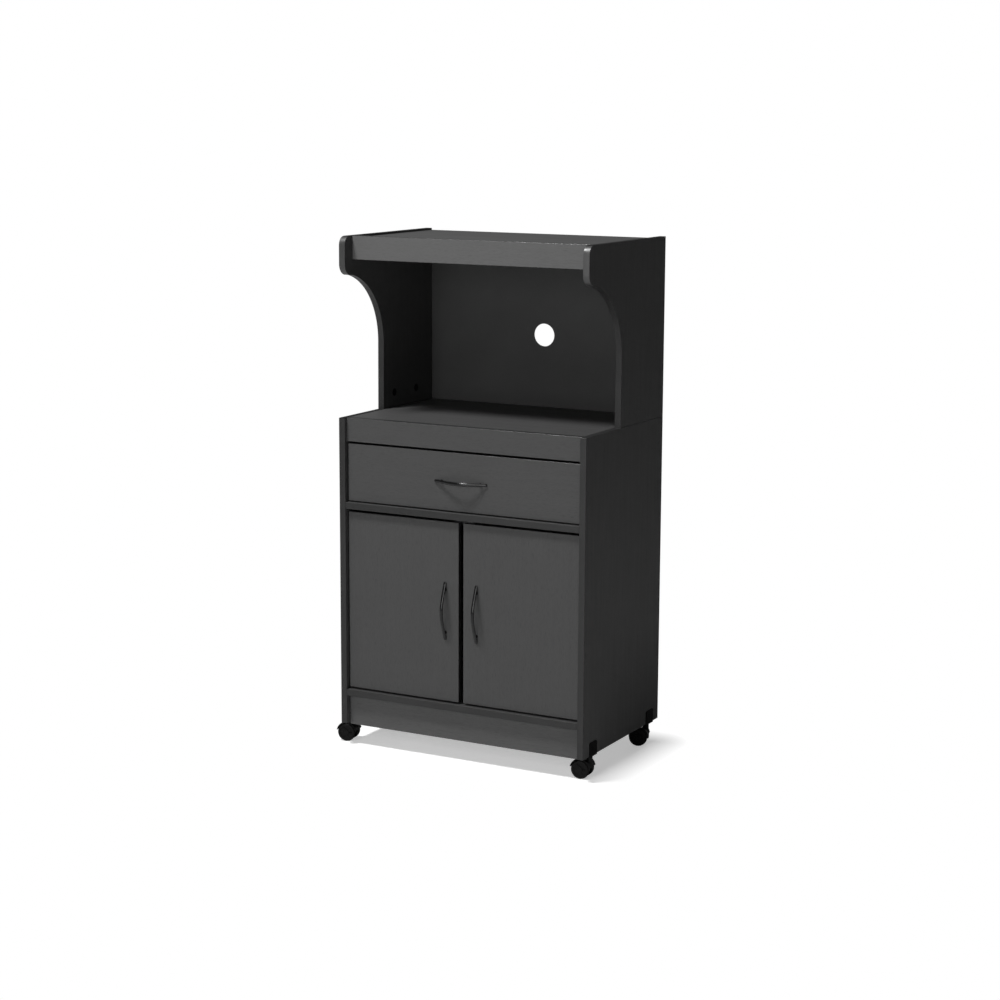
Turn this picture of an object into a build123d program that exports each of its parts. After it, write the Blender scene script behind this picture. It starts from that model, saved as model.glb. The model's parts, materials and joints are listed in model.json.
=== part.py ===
from build123d import *
from math import cos, radians
import os

# A kitchen cabinet on castors: a base with a drawer and a two-door cupboard, and an open hutch above.
# Millimetres. The origin is on the floor, midway across the width and the depth. +Y is the back, +Z up.
# The left pieces are modelled, and the right ones mirror them.

# Overall sizes
width = 610.0
depth = 400.0
height = 1148.0
worktop_height = 749.0

# Boards
board = 15.0
edge_rounding = 0.8
back_thickness = 3.0
back_inset = 2.0
back_seam = 0.5
front_recess = 9.0
front_gap_side = 3.2
fascia_height = 52.5
drawer_gap_top = 5.0
drawer_gap_bottom = 3.0
drawer_front_height = 128.0
door_gap_top = 7.0
door_gap_bottom = 4.5
door_gap_middle = 11.8
kick_height = 65.0
kick_drop = 4.0
kick_recess = 5.0
shelf_rise = 196.0
shelf_gap = 1.0
shelf_front_gap = 4.0
shelf_rear_gap = 5.0

# Hutch
nose_setback = 5.5
nose_height = 84.0
nose_top_radius = 20.0
nose_bottom_radius = 25.0
cheek_depth = 219.0
apron_height = 52.0
apron_setback = 31.5
top_recess = 4.5
cable_hole_radius = 26.0
cable_hole_height = 165.0
cable_hole_offset = 5.5

# Board joints: cam bolts, cam discs and dowels
bolt_radius = 3.0
bolt_shank_radius = 2.5
bolt_head_radius = 3.5
bolt_head_length = 4.0
peg_depth = 10.0
cam_reach = 34.0
cam_radius = 7.5
cam_depth = 12.0
cam_slot_play = 0.1
dowel_radius = 4.0
dowel_reach = 20.0
joint_front = 58.0
joint_rear = 47.0
rail_cam_height = 16.0
rail_dowel_height = 38.0
hutch_bolt_front = 47.0
hutch_bolt_rear = 74.0

# Shelf pins and their spare holes
pin_radius = 2.5
pin_depth = 10.0
pin_reach = 8.0
pin_inset = 38.0
pin_pitch = 32.0
pin_rows = 5

# Nails and screws
nail_radius = 0.75
nail_length = 15.0
nail_head_radius = 2.0
nail_head_depth = 0.8
nails_per_edge = 4
screw_radius = 1.75
screw_length = 12.0
screw_head_radius = 3.2
screw_head_height = 1.2

# Bow handles
handle_length = 132.0
handle_projection = 21.0
handle_width = 8.0
handle_tip_width = 6.4
handle_thickness = 5.0
bow_tip = 1.2
bow_sections = 9
bow_post_radius = 3.2
handle_hole_spacing = 96.0
handle_screw_radius = 1.75
handle_screw_bite = 4.5
handle_screw_head_radius = 4.0
handle_screw_head_height = 2.0
drawer_handle_drop = 0.5
door_handle_inset = 33.0
door_handle_drop = 199.0

# Concealed hinges
pin_from_edge = 9.8
pin_from_face = 7.0
hinge_pin_radius = 1.25
hinge_clearance = 0.05
cup_from_edge = 22.5
cup_radius = 17.5
cup_skin = 3.0
cup_wall = 1.0
flange_radius = 19.0
flange_thickness = 1.2
flange_length = 60.0
flange_width = 15.0
flange_screw_spacing = 48.0
knuckle_radius = 2.7
knuckle_width = 10.0
cheek_thickness = 1.5
cheek_gap = 0.3
arm_gauge = 1.5
arm_reach = 13.0
arm_bend = 2.0
plate_length = 60.0
plate_width = 24.0
plate_screw_setback = 6.0
plate_screw_spacing = 32.0
hinge_from_door_end = 80.0

# Magnetic catch
catch_length = 26.0
catch_half_width = 26.0
catch_height = 14.0
magnet_gap = 0.3
magnet_proud = 0.5
magnet_length = 22.0
magnet_inner = 8.0
magnet_outer = 20.0
magnet_height = 9.0
magnet_drop = 2.5
strike_thickness = 1.0
strike_height = 16.0
strike_margin = 1.0
strike_screw_height = 5.0

# Drawer box and roller runners
drawer_side = 12.0
drawer_rear_room = 61.0
drawer_side_height = 80.0
drawer_side_bottom = 26.5
drawer_bottom_height = 6.0
drawer_bottom = 3.0
drawer_cam_depth = 9.5
drawer_back_screw = 36.0
groove_depth = 4.0
groove_play = 0.2
runner_room = 12.5
runner_gauge = 1.2
track_width = 10.5
rail_inner = 3.2
roller_radius = 7.4
roller_play = 0.1
roller_near = 3.5
roller_far = 9.5
roller_from_end = 8.0
axle_radius = 2.0
axle_play = 0.05
axle_head_radius = 3.5
axle_head_thickness = 0.8
rail_air = 0.9
track_air = 1.0
axle_air = 0.3
member_screw_height = 7.0
member_screw_length = 8.0

# Castors: name, side (-1 left, 1 right), end (-1 front, 1 rear) and heading in degrees
castors = (
    ("front_left", -1, -1, 80.0),
    ("front_right", 1, -1, 85.0),
    ("rear_left", -1, 1, 24.0),
    ("rear_right", 1, 1, 72.0),
)
castor_front_setback = 48.0
castor_rear_setback = 47.0
castor_rise = 10.0
saddle_gauge = 1.5
saddle_length = 36.0
saddle_height = 30.5
saddle_corner = 5.0
stem_radius = 4.0
stem_length = 22.0
stem_tip = 1.0
stem_play = 0.05
collar_radius = 7.0
collar_height = 1.2
swivel_gap = 0.3
wheel_radius = 21.0
wheel_inner = 7.0
wheel_outer = 19.0
wheel_rounding = 4.0
wheel_tread_height = 6.5
wheel_dish_depth = 1.0
wheel_cap_radius = 5.5
hub_radius = 5.0
hub_inner = 3.3
stub_radius = 3.0
stub_play = 0.05
stub_head_radius = 3.4
stub_head_start = 15.9
stub_end = 17.0
stub_room = 0.2
trail = 16.0
hood_gap = 1.2
hood_wall = 1.8
hood_half_width = 18.5
hood_rounding = 1.4
skirt_above_axle = 5.0
web_half_width = 3.0
web_below_axle = 6.0
boss_radius = 6.5
boss_above_axle = 6.0

# Places that follow from the sizes
floor_gap = 2 * wheel_radius + castor_rise
inner_x = width / 2 - board
rear_y = depth / 2 - back_thickness
face_y = -depth / 2 + handle_projection
fronts_back_y = face_y + board
panel_front_y = face_y - front_recess
fascia_bottom = worktop_height - fascia_height
drawer_front_top = fascia_bottom - drawer_gap_top
drawer_front_bottom = drawer_front_top - drawer_front_height
mid_shelf_top = drawer_front_bottom - drawer_gap_bottom
mid_shelf_bottom = mid_shelf_top - board
bottom_shelf_bottom = floor_gap + kick_height
bottom_shelf_top = bottom_shelf_bottom + board
door_top = mid_shelf_bottom - door_gap_top
door_bottom = bottom_shelf_top + door_gap_bottom
door_outer = inner_x - front_gap_side
door_inner = door_gap_middle / 2
kick_y = face_y + kick_recess
nose_y = panel_front_y + nose_setback
nose_bottom = height - nose_height
cheek_y = rear_y - cheek_depth
apron_y = nose_y + apron_setback
hutch_top_height = height - top_recess

# Where the board joints sit, as (y, z) on the side panels' inner faces
base_shelf_middles = (worktop_height - board / 2, mid_shelf_top - board / 2, bottom_shelf_top - board / 2)
hutch_top_middle = hutch_top_height - board / 2
joint_front_y = panel_front_y + joint_front
joint_rear_y = rear_y - joint_rear
joint_middle_y = (joint_front_y + joint_rear_y) / 2
hutch_joint_front_y = apron_y + board + cam_reach
hutch_joint_middle_y = (hutch_joint_front_y + joint_rear_y) / 2
fascia_middle_y = face_y + board / 2
kick_middle_y = kick_y + board / 2
apron_middle_y = apron_y + board / 2
apron_bottom = height - apron_height
fascia_cam = (fascia_middle_y, fascia_bottom + rail_cam_height)
fascia_dowel = (fascia_middle_y, fascia_bottom + rail_dowel_height)
kick_cam = (kick_middle_y, floor_gap + rail_cam_height)
kick_dowel = (kick_middle_y, floor_gap + rail_dowel_height)
apron_cam = (apron_middle_y, apron_bottom + rail_cam_height)
apron_dowel = (apron_middle_y, apron_bottom + rail_dowel_height)
hutch_bolt_ys = (cheek_y + hutch_bolt_front, rear_y - hutch_bolt_rear)
hutch_dowel_y = sum(hutch_bolt_ys) / 2
upright_x = -inner_x - board / 2

# Hinges
hinge_x = -door_outer + pin_from_edge
hinge_y = face_y + pin_from_face
hinge_zs = (door_bottom + hinge_from_door_end, door_top - hinge_from_door_end)
cup_x = -door_outer + cup_from_edge
cup_depth = board - cup_skin
flange_x = cup_x + flange_width / 3
plate_screw_front_y = hinge_y + board + plate_screw_setback
plate_screw_ys = (plate_screw_front_y, plate_screw_front_y + plate_screw_spacing)

# Adjustable shelf, behind the hinges' plates, and its pins
shelf_bottom = bottom_shelf_top + shelf_rise
shelf_front_y = hinge_y + plate_length + shelf_front_gap
shelf_back_y = rear_y - shelf_rear_gap
pin_ys = (shelf_front_y + pin_inset, shelf_back_y - pin_inset)
pin_z = shelf_bottom - pin_radius

# Drawer and runners
drawer_outer = inner_x - runner_room
drawer_inner = drawer_outer - drawer_side
drawer_rear_y = rear_y - drawer_rear_room
drawer_length = drawer_rear_y - fronts_back_y
drawer_sides_z = drawer_front_bottom + drawer_side_bottom
drawer_floor_z = drawer_sides_z + drawer_bottom_height
member_bottom = drawer_sides_z - runner_gauge
track_top = member_bottom + roller_play
rail_bottom = track_top + 2 * roller_radius + roller_play + rail_air
front_roller_z = rail_bottom - roller_play - roller_radius
rear_roller_z = track_top + roller_play + roller_radius
front_roller_y = fronts_back_y + runner_gauge + roller_from_end
rear_roller_y = drawer_rear_y - roller_from_end
track_roof = rail_bottom + runner_gauge + track_air
runner_screw_ys = [fronts_back_y + share * drawer_length for share in (0.2, 0.5, 0.85)]
member_screw_z = drawer_sides_z + member_screw_height
drawer_joint_zs = (
    drawer_floor_z + drawer_side_height / 3,
    drawer_floor_z + 2 * drawer_side_height / 3,
)

# Handles
drawer_handle_z = (drawer_front_bottom + drawer_front_top) / 2 - drawer_handle_drop
door_handle_x = -door_inner - door_handle_inset
door_handle_z = door_top - door_handle_drop

BASE = (Align.CENTER, Align.CENTER, Align.MIN)
CORNER = (Align.MIN, Align.MIN, Align.MIN)
LEFT, RIGHT, FRONT, BACK, UP, DOWN = (-1, 0, 0), (1, 0, 0), (0, -1, 0), (0, 1, 0), (0, 0, 1), (0, 0, -1)


def block(low, high, mode=Mode.ADD):
    """A box between two corners."""
    with Locations(low):
        Box(*[b - a for a, b in zip(low, high)], align=CORNER, mode=mode)


def rods(starts, direction, radius, length, mode=Mode.ADD):
    """A round bar from each start, along direction."""
    with Locations(*[Plane(origin=start, z_dir=direction) for start in starts]):
        Cylinder(radius, length, align=BASE, mode=mode)


def moved(points, direction, distance):
    """The points, each a distance along direction."""
    return [tuple(p + distance * d for p, d in zip(point, direction)) for point in points]


def opposite(direction):
    """The direction turned round."""
    return tuple(-d for d in direction)


def soften(builder, axis, radius=edge_rounding):
    """Rounds the long edges of a board that run along axis at its front."""
    fillet(builder.edges().filter_by(axis).group_by(Axis.Y)[0], radius)


def bolt_bores(joints, direction):
    """Bores in a panel for the threads of cam bolts that point along direction."""
    rods(joints, opposite(direction), bolt_radius, peg_depth, Mode.SUBTRACT)


def dowel_bores(joints, direction, length):
    """Bores for dowels."""
    rods(joints, direction, dowel_radius, length, Mode.SUBTRACT)


def cam_bores(joints, direction, cam_axis, surface, depth=cam_depth):
    """A bolt's bore into a board's end, and its cam disc's pocket, sunk along cam_axis from the surface."""
    rods(joints, direction, bolt_head_radius, cam_reach, Mode.SUBTRACT)
    faces = moved(moved(joints, direction, cam_reach), cam_axis, -surface)
    rods(faces, cam_axis, cam_radius, depth, Mode.SUBTRACT)


def cam_bolts_at(joints, direction):
    """Bolts screwed into a panel at joints, with heads that reach along direction."""
    rods(joints, opposite(direction), bolt_radius, peg_depth)
    rods(joints, direction, bolt_shank_radius, cam_reach)
    heads = moved(joints, direction, cam_reach - bolt_head_length)
    rods(heads, direction, bolt_head_radius, bolt_head_length)


def cam_discs_at(joints, direction, cam_axis, surface, depth=cam_depth):
    """Discs that hold the bolts' heads, each with the slot that the head goes in by."""
    centres = moved(joints, direction, cam_reach)
    rods(moved(centres, cam_axis, -surface), cam_axis, cam_radius, depth)
    rods(centres, opposite(direction), bolt_head_radius + cam_slot_play, cam_radius, Mode.SUBTRACT)


def screws_at(starts, direction, length=screw_length, radius=screw_radius):
    """Pan-head screws whose heads stand on the surface at starts."""
    rods(starts, direction, radius, length)
    rods(starts, opposite(direction), screw_head_radius, screw_head_height)


def on_panel(places, x=-inner_x):
    """(y, z) places as points on the left panel's inner face."""
    return [(x, y, z) for y, z in places]


def evenly(low, high, count):
    """Values from low to high, evenly spaced."""
    return [low + (high - low) * n / (count - 1) for n in range(count)]


# Places of the fixings, on the left side
shelf_bolt_places = [(y, z) for z in base_shelf_middles for y in (joint_front_y, joint_rear_y)]
shelf_dowel_places = [(joint_middle_y, z) for z in base_shelf_middles]
hutch_top_bolt_places = [(y, hutch_top_middle) for y in (hutch_joint_front_y, joint_rear_y)]
hutch_top_dowel_places = [(hutch_joint_middle_y, hutch_top_middle)]
upright_bolts = [(upright_x, y, worktop_height) for y in hutch_bolt_ys]
upright_dowels = [(upright_x, hutch_dowel_y, worktop_height)]
spare_zs = [pin_z + pin_pitch * (n - pin_rows // 2) for n in range(pin_rows)]
hinge_screws = [(-inner_x + arm_gauge, y, z) for z in hinge_zs for y in plate_screw_ys]
runner_screws = [(-inner_x + runner_gauge, y, front_roller_z) for y in runner_screw_ys]
castor_ys = {-1: panel_front_y + castor_front_setback, 1: rear_y - castor_rear_setback}
saddle_screws = [(-inner_x + saddle_gauge, y, floor_gap + 2 * saddle_height / 3) for y in castor_ys.values()]
back_half_width = width / 2 - back_inset
base_back_bottom = bottom_shelf_bottom + back_inset
base_back_top = worktop_height - back_seam
nail_y = depth / 2
shelf_nail_xs = evenly(-inner_x / 2, inner_x / 2, nails_per_edge)
base_nails = [(x, nail_y, z) for z in base_shelf_middles for x in shelf_nail_xs]
base_nails += [
    (side * upright_x, nail_y, z)
    for side in (-1, 1)
    for z in evenly(base_back_bottom + 2 * board, base_back_top - 2 * board, nails_per_edge)
]
hutch_nails = [(x, nail_y, hutch_top_middle) for x in shelf_nail_xs]
hutch_nails += [
    (side * upright_x, nail_y, z)
    for side in (-1, 1)
    for z in evenly(worktop_height + 2 * board, hutch_top_height - 3 * board, nails_per_edge)
]


def nail_holes(nails):
    """The nails' bores, with sunk seats for their heads in a back panel."""
    rods(nails, FRONT, nail_radius, nail_length, Mode.SUBTRACT)
    rods(nails, FRONT, nail_head_radius, nail_head_depth, Mode.SUBTRACT)


# Magnetic catch under the middle shelf
catch_y = fronts_back_y + strike_thickness + magnet_gap + magnet_proud
catch_bottom = mid_shelf_bottom - catch_height
catch_screws = [(0, catch_y + share * catch_length, catch_bottom) for share in (0.25, 0.75)]
catch_screw_length = catch_height + board - 3 * screw_head_height

# Side panels of the base
with BuildPart() as left_side_panel:
    block((-width / 2, panel_front_y, floor_gap), (-inner_x, rear_y, worktop_height))
    soften(left_side_panel, Axis.Z)
    bolt_bores(on_panel(shelf_bolt_places + [fascia_cam, kick_cam]), RIGHT)
    dowel_bores(on_panel(shelf_dowel_places + [fascia_dowel, kick_dowel]), LEFT, peg_depth)
    bolt_bores(upright_bolts, UP)
    dowel_bores(upright_dowels, DOWN, dowel_reach)
    rods(on_panel([(y, z) for y in pin_ys for z in spare_zs]), LEFT, pin_radius, pin_depth, Mode.SUBTRACT)
    rods(hinge_screws + runner_screws + saddle_screws, LEFT, screw_radius, screw_length, Mode.SUBTRACT)
    rods(base_nails, FRONT, nail_radius, nail_length, Mode.SUBTRACT)

with BuildPart() as right_side_panel:
    mirror(left_side_panel.part, about=Plane.YZ)


def shelf_board(front_y, back_y, top, bolt_places, dowel_places, nails, screws=()):
    """A level board between the side panels, with its joints' bores at both ends."""
    with BuildPart() as shelf:
        block((-inner_x, front_y, top - board), (inner_x, back_y, top))
        soften(shelf, Axis.X)
        for side, inward in ((-1, RIGHT), (1, LEFT)):
            cam_bores(on_panel(bolt_places, side * inner_x), inward, UP, board / 2)
            dowel_bores(on_panel(dowel_places, side * inner_x), inward, dowel_reach)
        rods(nails, FRONT, nail_radius, nail_length, Mode.SUBTRACT)
        if screws:
            rods(screws, UP, screw_radius, catch_screw_length, Mode.SUBTRACT)
    return shelf


worktop = shelf_board(
    fronts_back_y, rear_y, worktop_height, shelf_bolt_places[:2], shelf_dowel_places[:1], base_nails
)
mid_shelf = shelf_board(
    panel_front_y,
    rear_y,
    mid_shelf_top,
    shelf_bolt_places[2:4],
    shelf_dowel_places[1:2],
    base_nails,
    catch_screws,
)
bottom_shelf = shelf_board(
    panel_front_y, rear_y, bottom_shelf_top, shelf_bolt_places[4:], shelf_dowel_places[2:], base_nails
)
hutch_top = shelf_board(
    apron_y + board, rear_y, hutch_top_height, hutch_top_bolt_places, hutch_top_dowel_places, hutch_nails
)


def rail_board(front_y, bottom, top, cam, dowel):
    """An upright board across the front, with its cams sunk in its back."""
    with BuildPart() as rail:
        block((-inner_x, front_y, bottom), (inner_x, front_y + board, top))
        soften(rail, Axis.X)
        for side, inward in ((-1, RIGHT), (1, LEFT)):
            cam_bores(on_panel([cam], side * inner_x), inward, FRONT, board / 2)
            dowel_bores(on_panel([dowel], side * inner_x), inward, dowel_reach)
    return rail


top_fascia = rail_board(face_y, fascia_bottom, worktop_height, fascia_cam, fascia_dowel)
kick_rail = rail_board(kick_y, floor_gap - kick_drop, bottom_shelf_bottom, kick_cam, kick_dowel)
hutch_apron = rail_board(apron_y, apron_bottom, height, apron_cam, apron_dowel)

with BuildPart() as inner_shelf:
    block(
        (-inner_x + shelf_gap, shelf_front_y, shelf_bottom),
        (inner_x - shelf_gap, shelf_back_y, shelf_bottom + board),
    )
    soften(inner_shelf, Axis.X)

with BuildPart() as base_back:
    block((-back_half_width, rear_y, base_back_bottom), (back_half_width, depth / 2, base_back_top))
    nail_holes(base_nails)

# Hutch sides: a rounded nose above a quarter-round sweep down to the worktop
cheek_radius = cheek_y - nose_y
with BuildPart() as hutch_left_side:
    with BuildSketch(Plane.YZ.offset(-width / 2)) as cheek:
        with Locations((nose_y, worktop_height)):
            Rectangle(rear_y - nose_y, height - worktop_height, align=(Align.MIN, Align.MIN))
        with Locations((nose_y, nose_bottom - cheek_radius)):
            Circle(cheek_radius, mode=Mode.SUBTRACT)
            Rectangle(cheek_radius, height, align=(Align.MIN, Align.MAX), mode=Mode.SUBTRACT)
        nose = cheek.vertices().group_by(Axis.X)[0].sort_by(Axis.Y)
        fillet(nose[-1], nose_top_radius)
        fillet(cheek.vertices().group_by(Axis.X)[0].sort_by(Axis.Y)[0], nose_bottom_radius)
    extrude(amount=board)
    bolt_bores(on_panel(hutch_top_bolt_places + [apron_cam]), RIGHT)
    dowel_bores(on_panel(hutch_top_dowel_places + [apron_dowel]), LEFT, peg_depth)
    cam_bores(upright_bolts, UP, LEFT, board / 2)
    dowel_bores(upright_dowels, UP, dowel_reach)
    rods(hutch_nails, FRONT, nail_radius, nail_length, Mode.SUBTRACT)

with BuildPart() as hutch_right_side:
    mirror(hutch_left_side.part, about=Plane.YZ)

with BuildPart() as hutch_back:
    block((-back_half_width, rear_y, worktop_height), (back_half_width, depth / 2, hutch_top_height))
    cable_hole = (cable_hole_offset, depth / 2, worktop_height + cable_hole_height)
    rods([cable_hole], FRONT, cable_hole_radius, back_thickness, Mode.SUBTRACT)
    nail_holes(hutch_nails)

# Fixings of the boards
board_bolts = on_panel(shelf_bolt_places + hutch_top_bolt_places)
rail_bolts = on_panel([fascia_cam, kick_cam, apron_cam])
with BuildPart() as cam_bolts:
    cam_bolts_at(board_bolts + rail_bolts, RIGHT)
    cam_bolts_at(upright_bolts, UP)
    mirror(about=Plane.YZ)

with BuildPart() as cam_discs:
    cam_discs_at(board_bolts, RIGHT, UP, board / 2)
    cam_discs_at(rail_bolts, RIGHT, FRONT, board / 2)
    cam_discs_at(upright_bolts, UP, LEFT, board / 2)
    mirror(about=Plane.YZ)

with BuildPart() as dowels:
    level = on_panel(
        shelf_dowel_places + hutch_top_dowel_places + [fascia_dowel, kick_dowel, apron_dowel],
        -inner_x - peg_depth,
    )
    rods(level, RIGHT, dowel_radius, peg_depth + dowel_reach)
    rods(moved(upright_dowels, DOWN, dowel_reach), UP, dowel_radius, 2 * dowel_reach)
    mirror(about=Plane.YZ)

with BuildPart() as back_nails:
    rods(base_nails + hutch_nails, FRONT, nail_radius, nail_length)
    rods(base_nails + hutch_nails, FRONT, nail_head_radius, nail_head_depth)

with BuildPart() as shelf_pins:
    pin_starts = on_panel([(y, pin_z) for y in pin_ys], -inner_x - pin_depth)
    rods(pin_starts, RIGHT, pin_radius, pin_depth + pin_reach)
    mirror(about=Plane.YZ)


def magnets(mode=Mode.ADD):
    """Both magnets, or the pockets for them."""
    magnet_top = mid_shelf_bottom - magnet_drop
    for low, high in ((-magnet_outer, -magnet_inner), (magnet_inner, magnet_outer)):
        block(
            (low, catch_y - magnet_proud, magnet_top - magnet_height),
            (high, catch_y - magnet_proud + magnet_length, magnet_top),
            mode,
        )


with BuildPart() as magnetic_catch:
    block(
        (-catch_half_width, catch_y, catch_bottom),
        (catch_half_width, catch_y + catch_length, mid_shelf_bottom),
    )
    fillet(magnetic_catch.edges().filter_by(Axis.Z), edge_rounding)
    magnets(Mode.SUBTRACT)
    rods(catch_screws, UP, screw_radius, catch_height, Mode.SUBTRACT)

with BuildPart() as catch_magnets:
    magnets()

# Hinge arms: out of the cup, round the door's edge and back along the side panel
arm_path = (
    (hinge_x, hinge_y),
    (hinge_x + arm_reach, hinge_y),
    (hinge_x + arm_reach, hinge_y + board),
    (-inner_x + arm_gauge / 2, hinge_y + board),
    (-inner_x + arm_gauge / 2, hinge_y + plate_length),
)
with BuildPart() as hinge_arms:
    for z in hinge_zs:
        with BuildSketch(Plane.XY.offset(z)):
            with BuildLine():
                FilletPolyline(*arm_path, radius=arm_bend)
            trace(line_width=arm_gauge)
            with Locations((hinge_x, hinge_y)):
                Circle(knuckle_radius)
                Circle(hinge_pin_radius + hinge_clearance, mode=Mode.SUBTRACT)
        extrude(amount=knuckle_width / 2, both=True)
        block(
            (-inner_x, hinge_y + board + arm_bend, z - plate_width / 2),
            (-inner_x + arm_gauge, hinge_y + plate_length, z + plate_width / 2),
        )
    rods(hinge_screws, LEFT, screw_radius, arm_gauge, Mode.SUBTRACT)
    mirror(about=Plane.YZ)

# Hinge cups: each has two cheeks inside it that hold the pin
cup_places = [(cup_x, fronts_back_y, z) for z in hinge_zs]
flange_screws = [
    (flange_x, fronts_back_y + flange_thickness, z + side * flange_screw_spacing / 2)
    for z in hinge_zs
    for side in (-1, 1)
]
cheek_inner = knuckle_width / 2 + cheek_gap
cheek_outer = cheek_inner + cheek_thickness
hinge_pin_starts = [(hinge_x, hinge_y, z - cheek_outer) for z in hinge_zs]
with BuildPart() as left_hinge_cups:
    with BuildSketch(Plane.XZ.offset(-fronts_back_y)):
        for z in hinge_zs:
            with Locations((flange_x, z)):
                RectangleRounded(flange_width, flange_length, flange_width / 3)
            with Locations((cup_x, z)):
                Circle(flange_radius)
    extrude(amount=-flange_thickness)
    rods(cup_places, FRONT, cup_radius, cup_depth)
    mouths = moved(cup_places, BACK, flange_thickness)
    rods(mouths, FRONT, cup_radius - cup_wall, flange_thickness + cup_depth - cup_wall, Mode.SUBTRACT)
    for z in hinge_zs:
        for low in (z - cheek_outer, z + cheek_inner):
            block(
                (hinge_x - knuckle_radius, fronts_back_y - cup_depth, low),
                (hinge_x + knuckle_radius, hinge_y + knuckle_radius, low + cheek_thickness),
            )
    rods(hinge_pin_starts, UP, hinge_pin_radius, 2 * cheek_outer, Mode.SUBTRACT)
    rods(flange_screws, FRONT, screw_radius, flange_thickness, Mode.SUBTRACT)

with BuildPart() as left_hinge_pins:
    rods(hinge_pin_starts, UP, hinge_pin_radius, 2 * cheek_outer)

# A bow handle, laid along X: a slender arch through elliptical sections, on two short posts
hole_half = handle_hole_spacing / 2


def bow_section(share):
    """The arch's height, half thickness and half width at a share of its half length from the middle."""
    swell = cos(radians(90 * share))
    half_thickness = bow_tip + (handle_thickness / 2 - bow_tip) * swell
    half_width = (handle_tip_width + (handle_width - handle_tip_width) * swell) / 2
    rise = (1 - share**2 + swell**2) / 2
    centre = bow_tip + (handle_projection - handle_thickness / 2 - bow_tip) * rise
    return centre, half_thickness, half_width


bow_posts = [(side * hole_half, 0, 0) for side in (-1, 1)]
with BuildPart() as bow:
    for share in evenly(-1, 1, bow_sections):
        centre, half_thickness, half_width = bow_section(share)
        with BuildSketch(Plane.YZ.offset(share * handle_length / 2)):
            with Locations((-centre, 0)):
                Ellipse(half_thickness, half_width)
    loft()
    rods(bow_posts, FRONT, bow_post_radius, bow_section(hole_half / (handle_length / 2))[0])
    rods(bow_posts, FRONT, handle_screw_radius, handle_screw_bite, Mode.SUBTRACT)


def placed(shape, place):
    """A copy of a finished shape at a place."""
    with BuildPart() as piece:
        with Locations(place):
            add(shape.part)
    return piece


drawer_handle = placed(bow, Location((0, face_y, drawer_handle_z)))
left_door_handle = placed(bow, Location((door_handle_x, face_y, door_handle_z), (0, 90, 0)))
drawer_handle_screws = [(side * hole_half, fronts_back_y, drawer_handle_z) for side in (-1, 1)]
door_handle_screws = [(door_handle_x, fronts_back_y, door_handle_z + side * hole_half) for side in (-1, 1)]


def handle_screws_at(starts):
    """Machine screws from a front's back face into a handle's feet."""
    rods(starts, FRONT, handle_screw_radius, board + handle_screw_bite)
    rods(starts, BACK, handle_screw_head_radius, handle_screw_head_height)


# Doors and what they carry
strike_top = door_top - strike_margin
strike_x = -(magnet_inner + magnet_outer) / 2
strike_screw_z = strike_top - strike_height + strike_screw_height
strike_screw = [(strike_x, fronts_back_y + strike_thickness, strike_screw_z)]
with BuildPart() as left_door:
    block((-door_outer, face_y, door_bottom), (-door_inner, fronts_back_y, door_top))
    fillet(left_door.edges().group_by(Axis.Y)[0], edge_rounding)
    rods(cup_places, FRONT, cup_radius, cup_depth, Mode.SUBTRACT)
    rods(flange_screws + strike_screw, FRONT, screw_radius, screw_length, Mode.SUBTRACT)
    rods(door_handle_screws, FRONT, handle_screw_radius, board, Mode.SUBTRACT)

with BuildPart() as left_strike_plate:
    block(
        (-magnet_outer - strike_margin, fronts_back_y, strike_top - strike_height),
        (-magnet_inner + strike_margin, fronts_back_y + strike_thickness, strike_top),
    )
    fillet(left_strike_plate.edges().filter_by(Axis.Y), edge_rounding)
    rods(strike_screw, FRONT, screw_radius, strike_thickness, Mode.SUBTRACT)

with BuildPart() as left_door_screws:
    screws_at(flange_screws + strike_screw, FRONT)
    handle_screws_at(door_handle_screws)

left_pieces = {
    "door": left_door,
    "door_handle": left_door_handle,
    "door_screws": left_door_screws,
    "hinge_cups": left_hinge_cups,
    "hinge_pins": left_hinge_pins,
    "strike_plate": left_strike_plate,
}
right_pieces = {}
for name, piece in left_pieces.items():
    with BuildPart() as right_pieces[name]:
        mirror(piece.part, about=Plane.YZ)

# Drawer
drawer_joint_x = (drawer_outer + drawer_inner) / 2
drawer_joints = [(-drawer_joint_x, fronts_back_y, z) for z in drawer_joint_zs]
drawer_back_y = drawer_rear_y - drawer_side
drawer_back_screws = [(-drawer_outer, drawer_rear_y - drawer_side / 2, z) for z in drawer_joint_zs]
far_back_screws = [(-x, y, z) for x, y, z in drawer_back_screws]
member_screws = [(-drawer_outer - runner_gauge, y, member_screw_z) for y in runner_screw_ys]
floor_top = drawer_floor_z + drawer_bottom
with BuildPart() as drawer_front:
    block((-door_outer, face_y, drawer_front_bottom), (door_outer, fronts_back_y, drawer_front_top))
    fillet(drawer_front.edges().group_by(Axis.Y)[0], edge_rounding)
    block(
        (-drawer_inner - groove_depth, fronts_back_y - groove_depth, drawer_floor_z),
        (drawer_inner + groove_depth, fronts_back_y, floor_top),
        Mode.SUBTRACT,
    )
    bolt_bores(drawer_joints, BACK)
    bolt_bores([(-x, y, z) for x, y, z in drawer_joints], BACK)
    rods(drawer_handle_screws, FRONT, handle_screw_radius, board, Mode.SUBTRACT)

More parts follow.
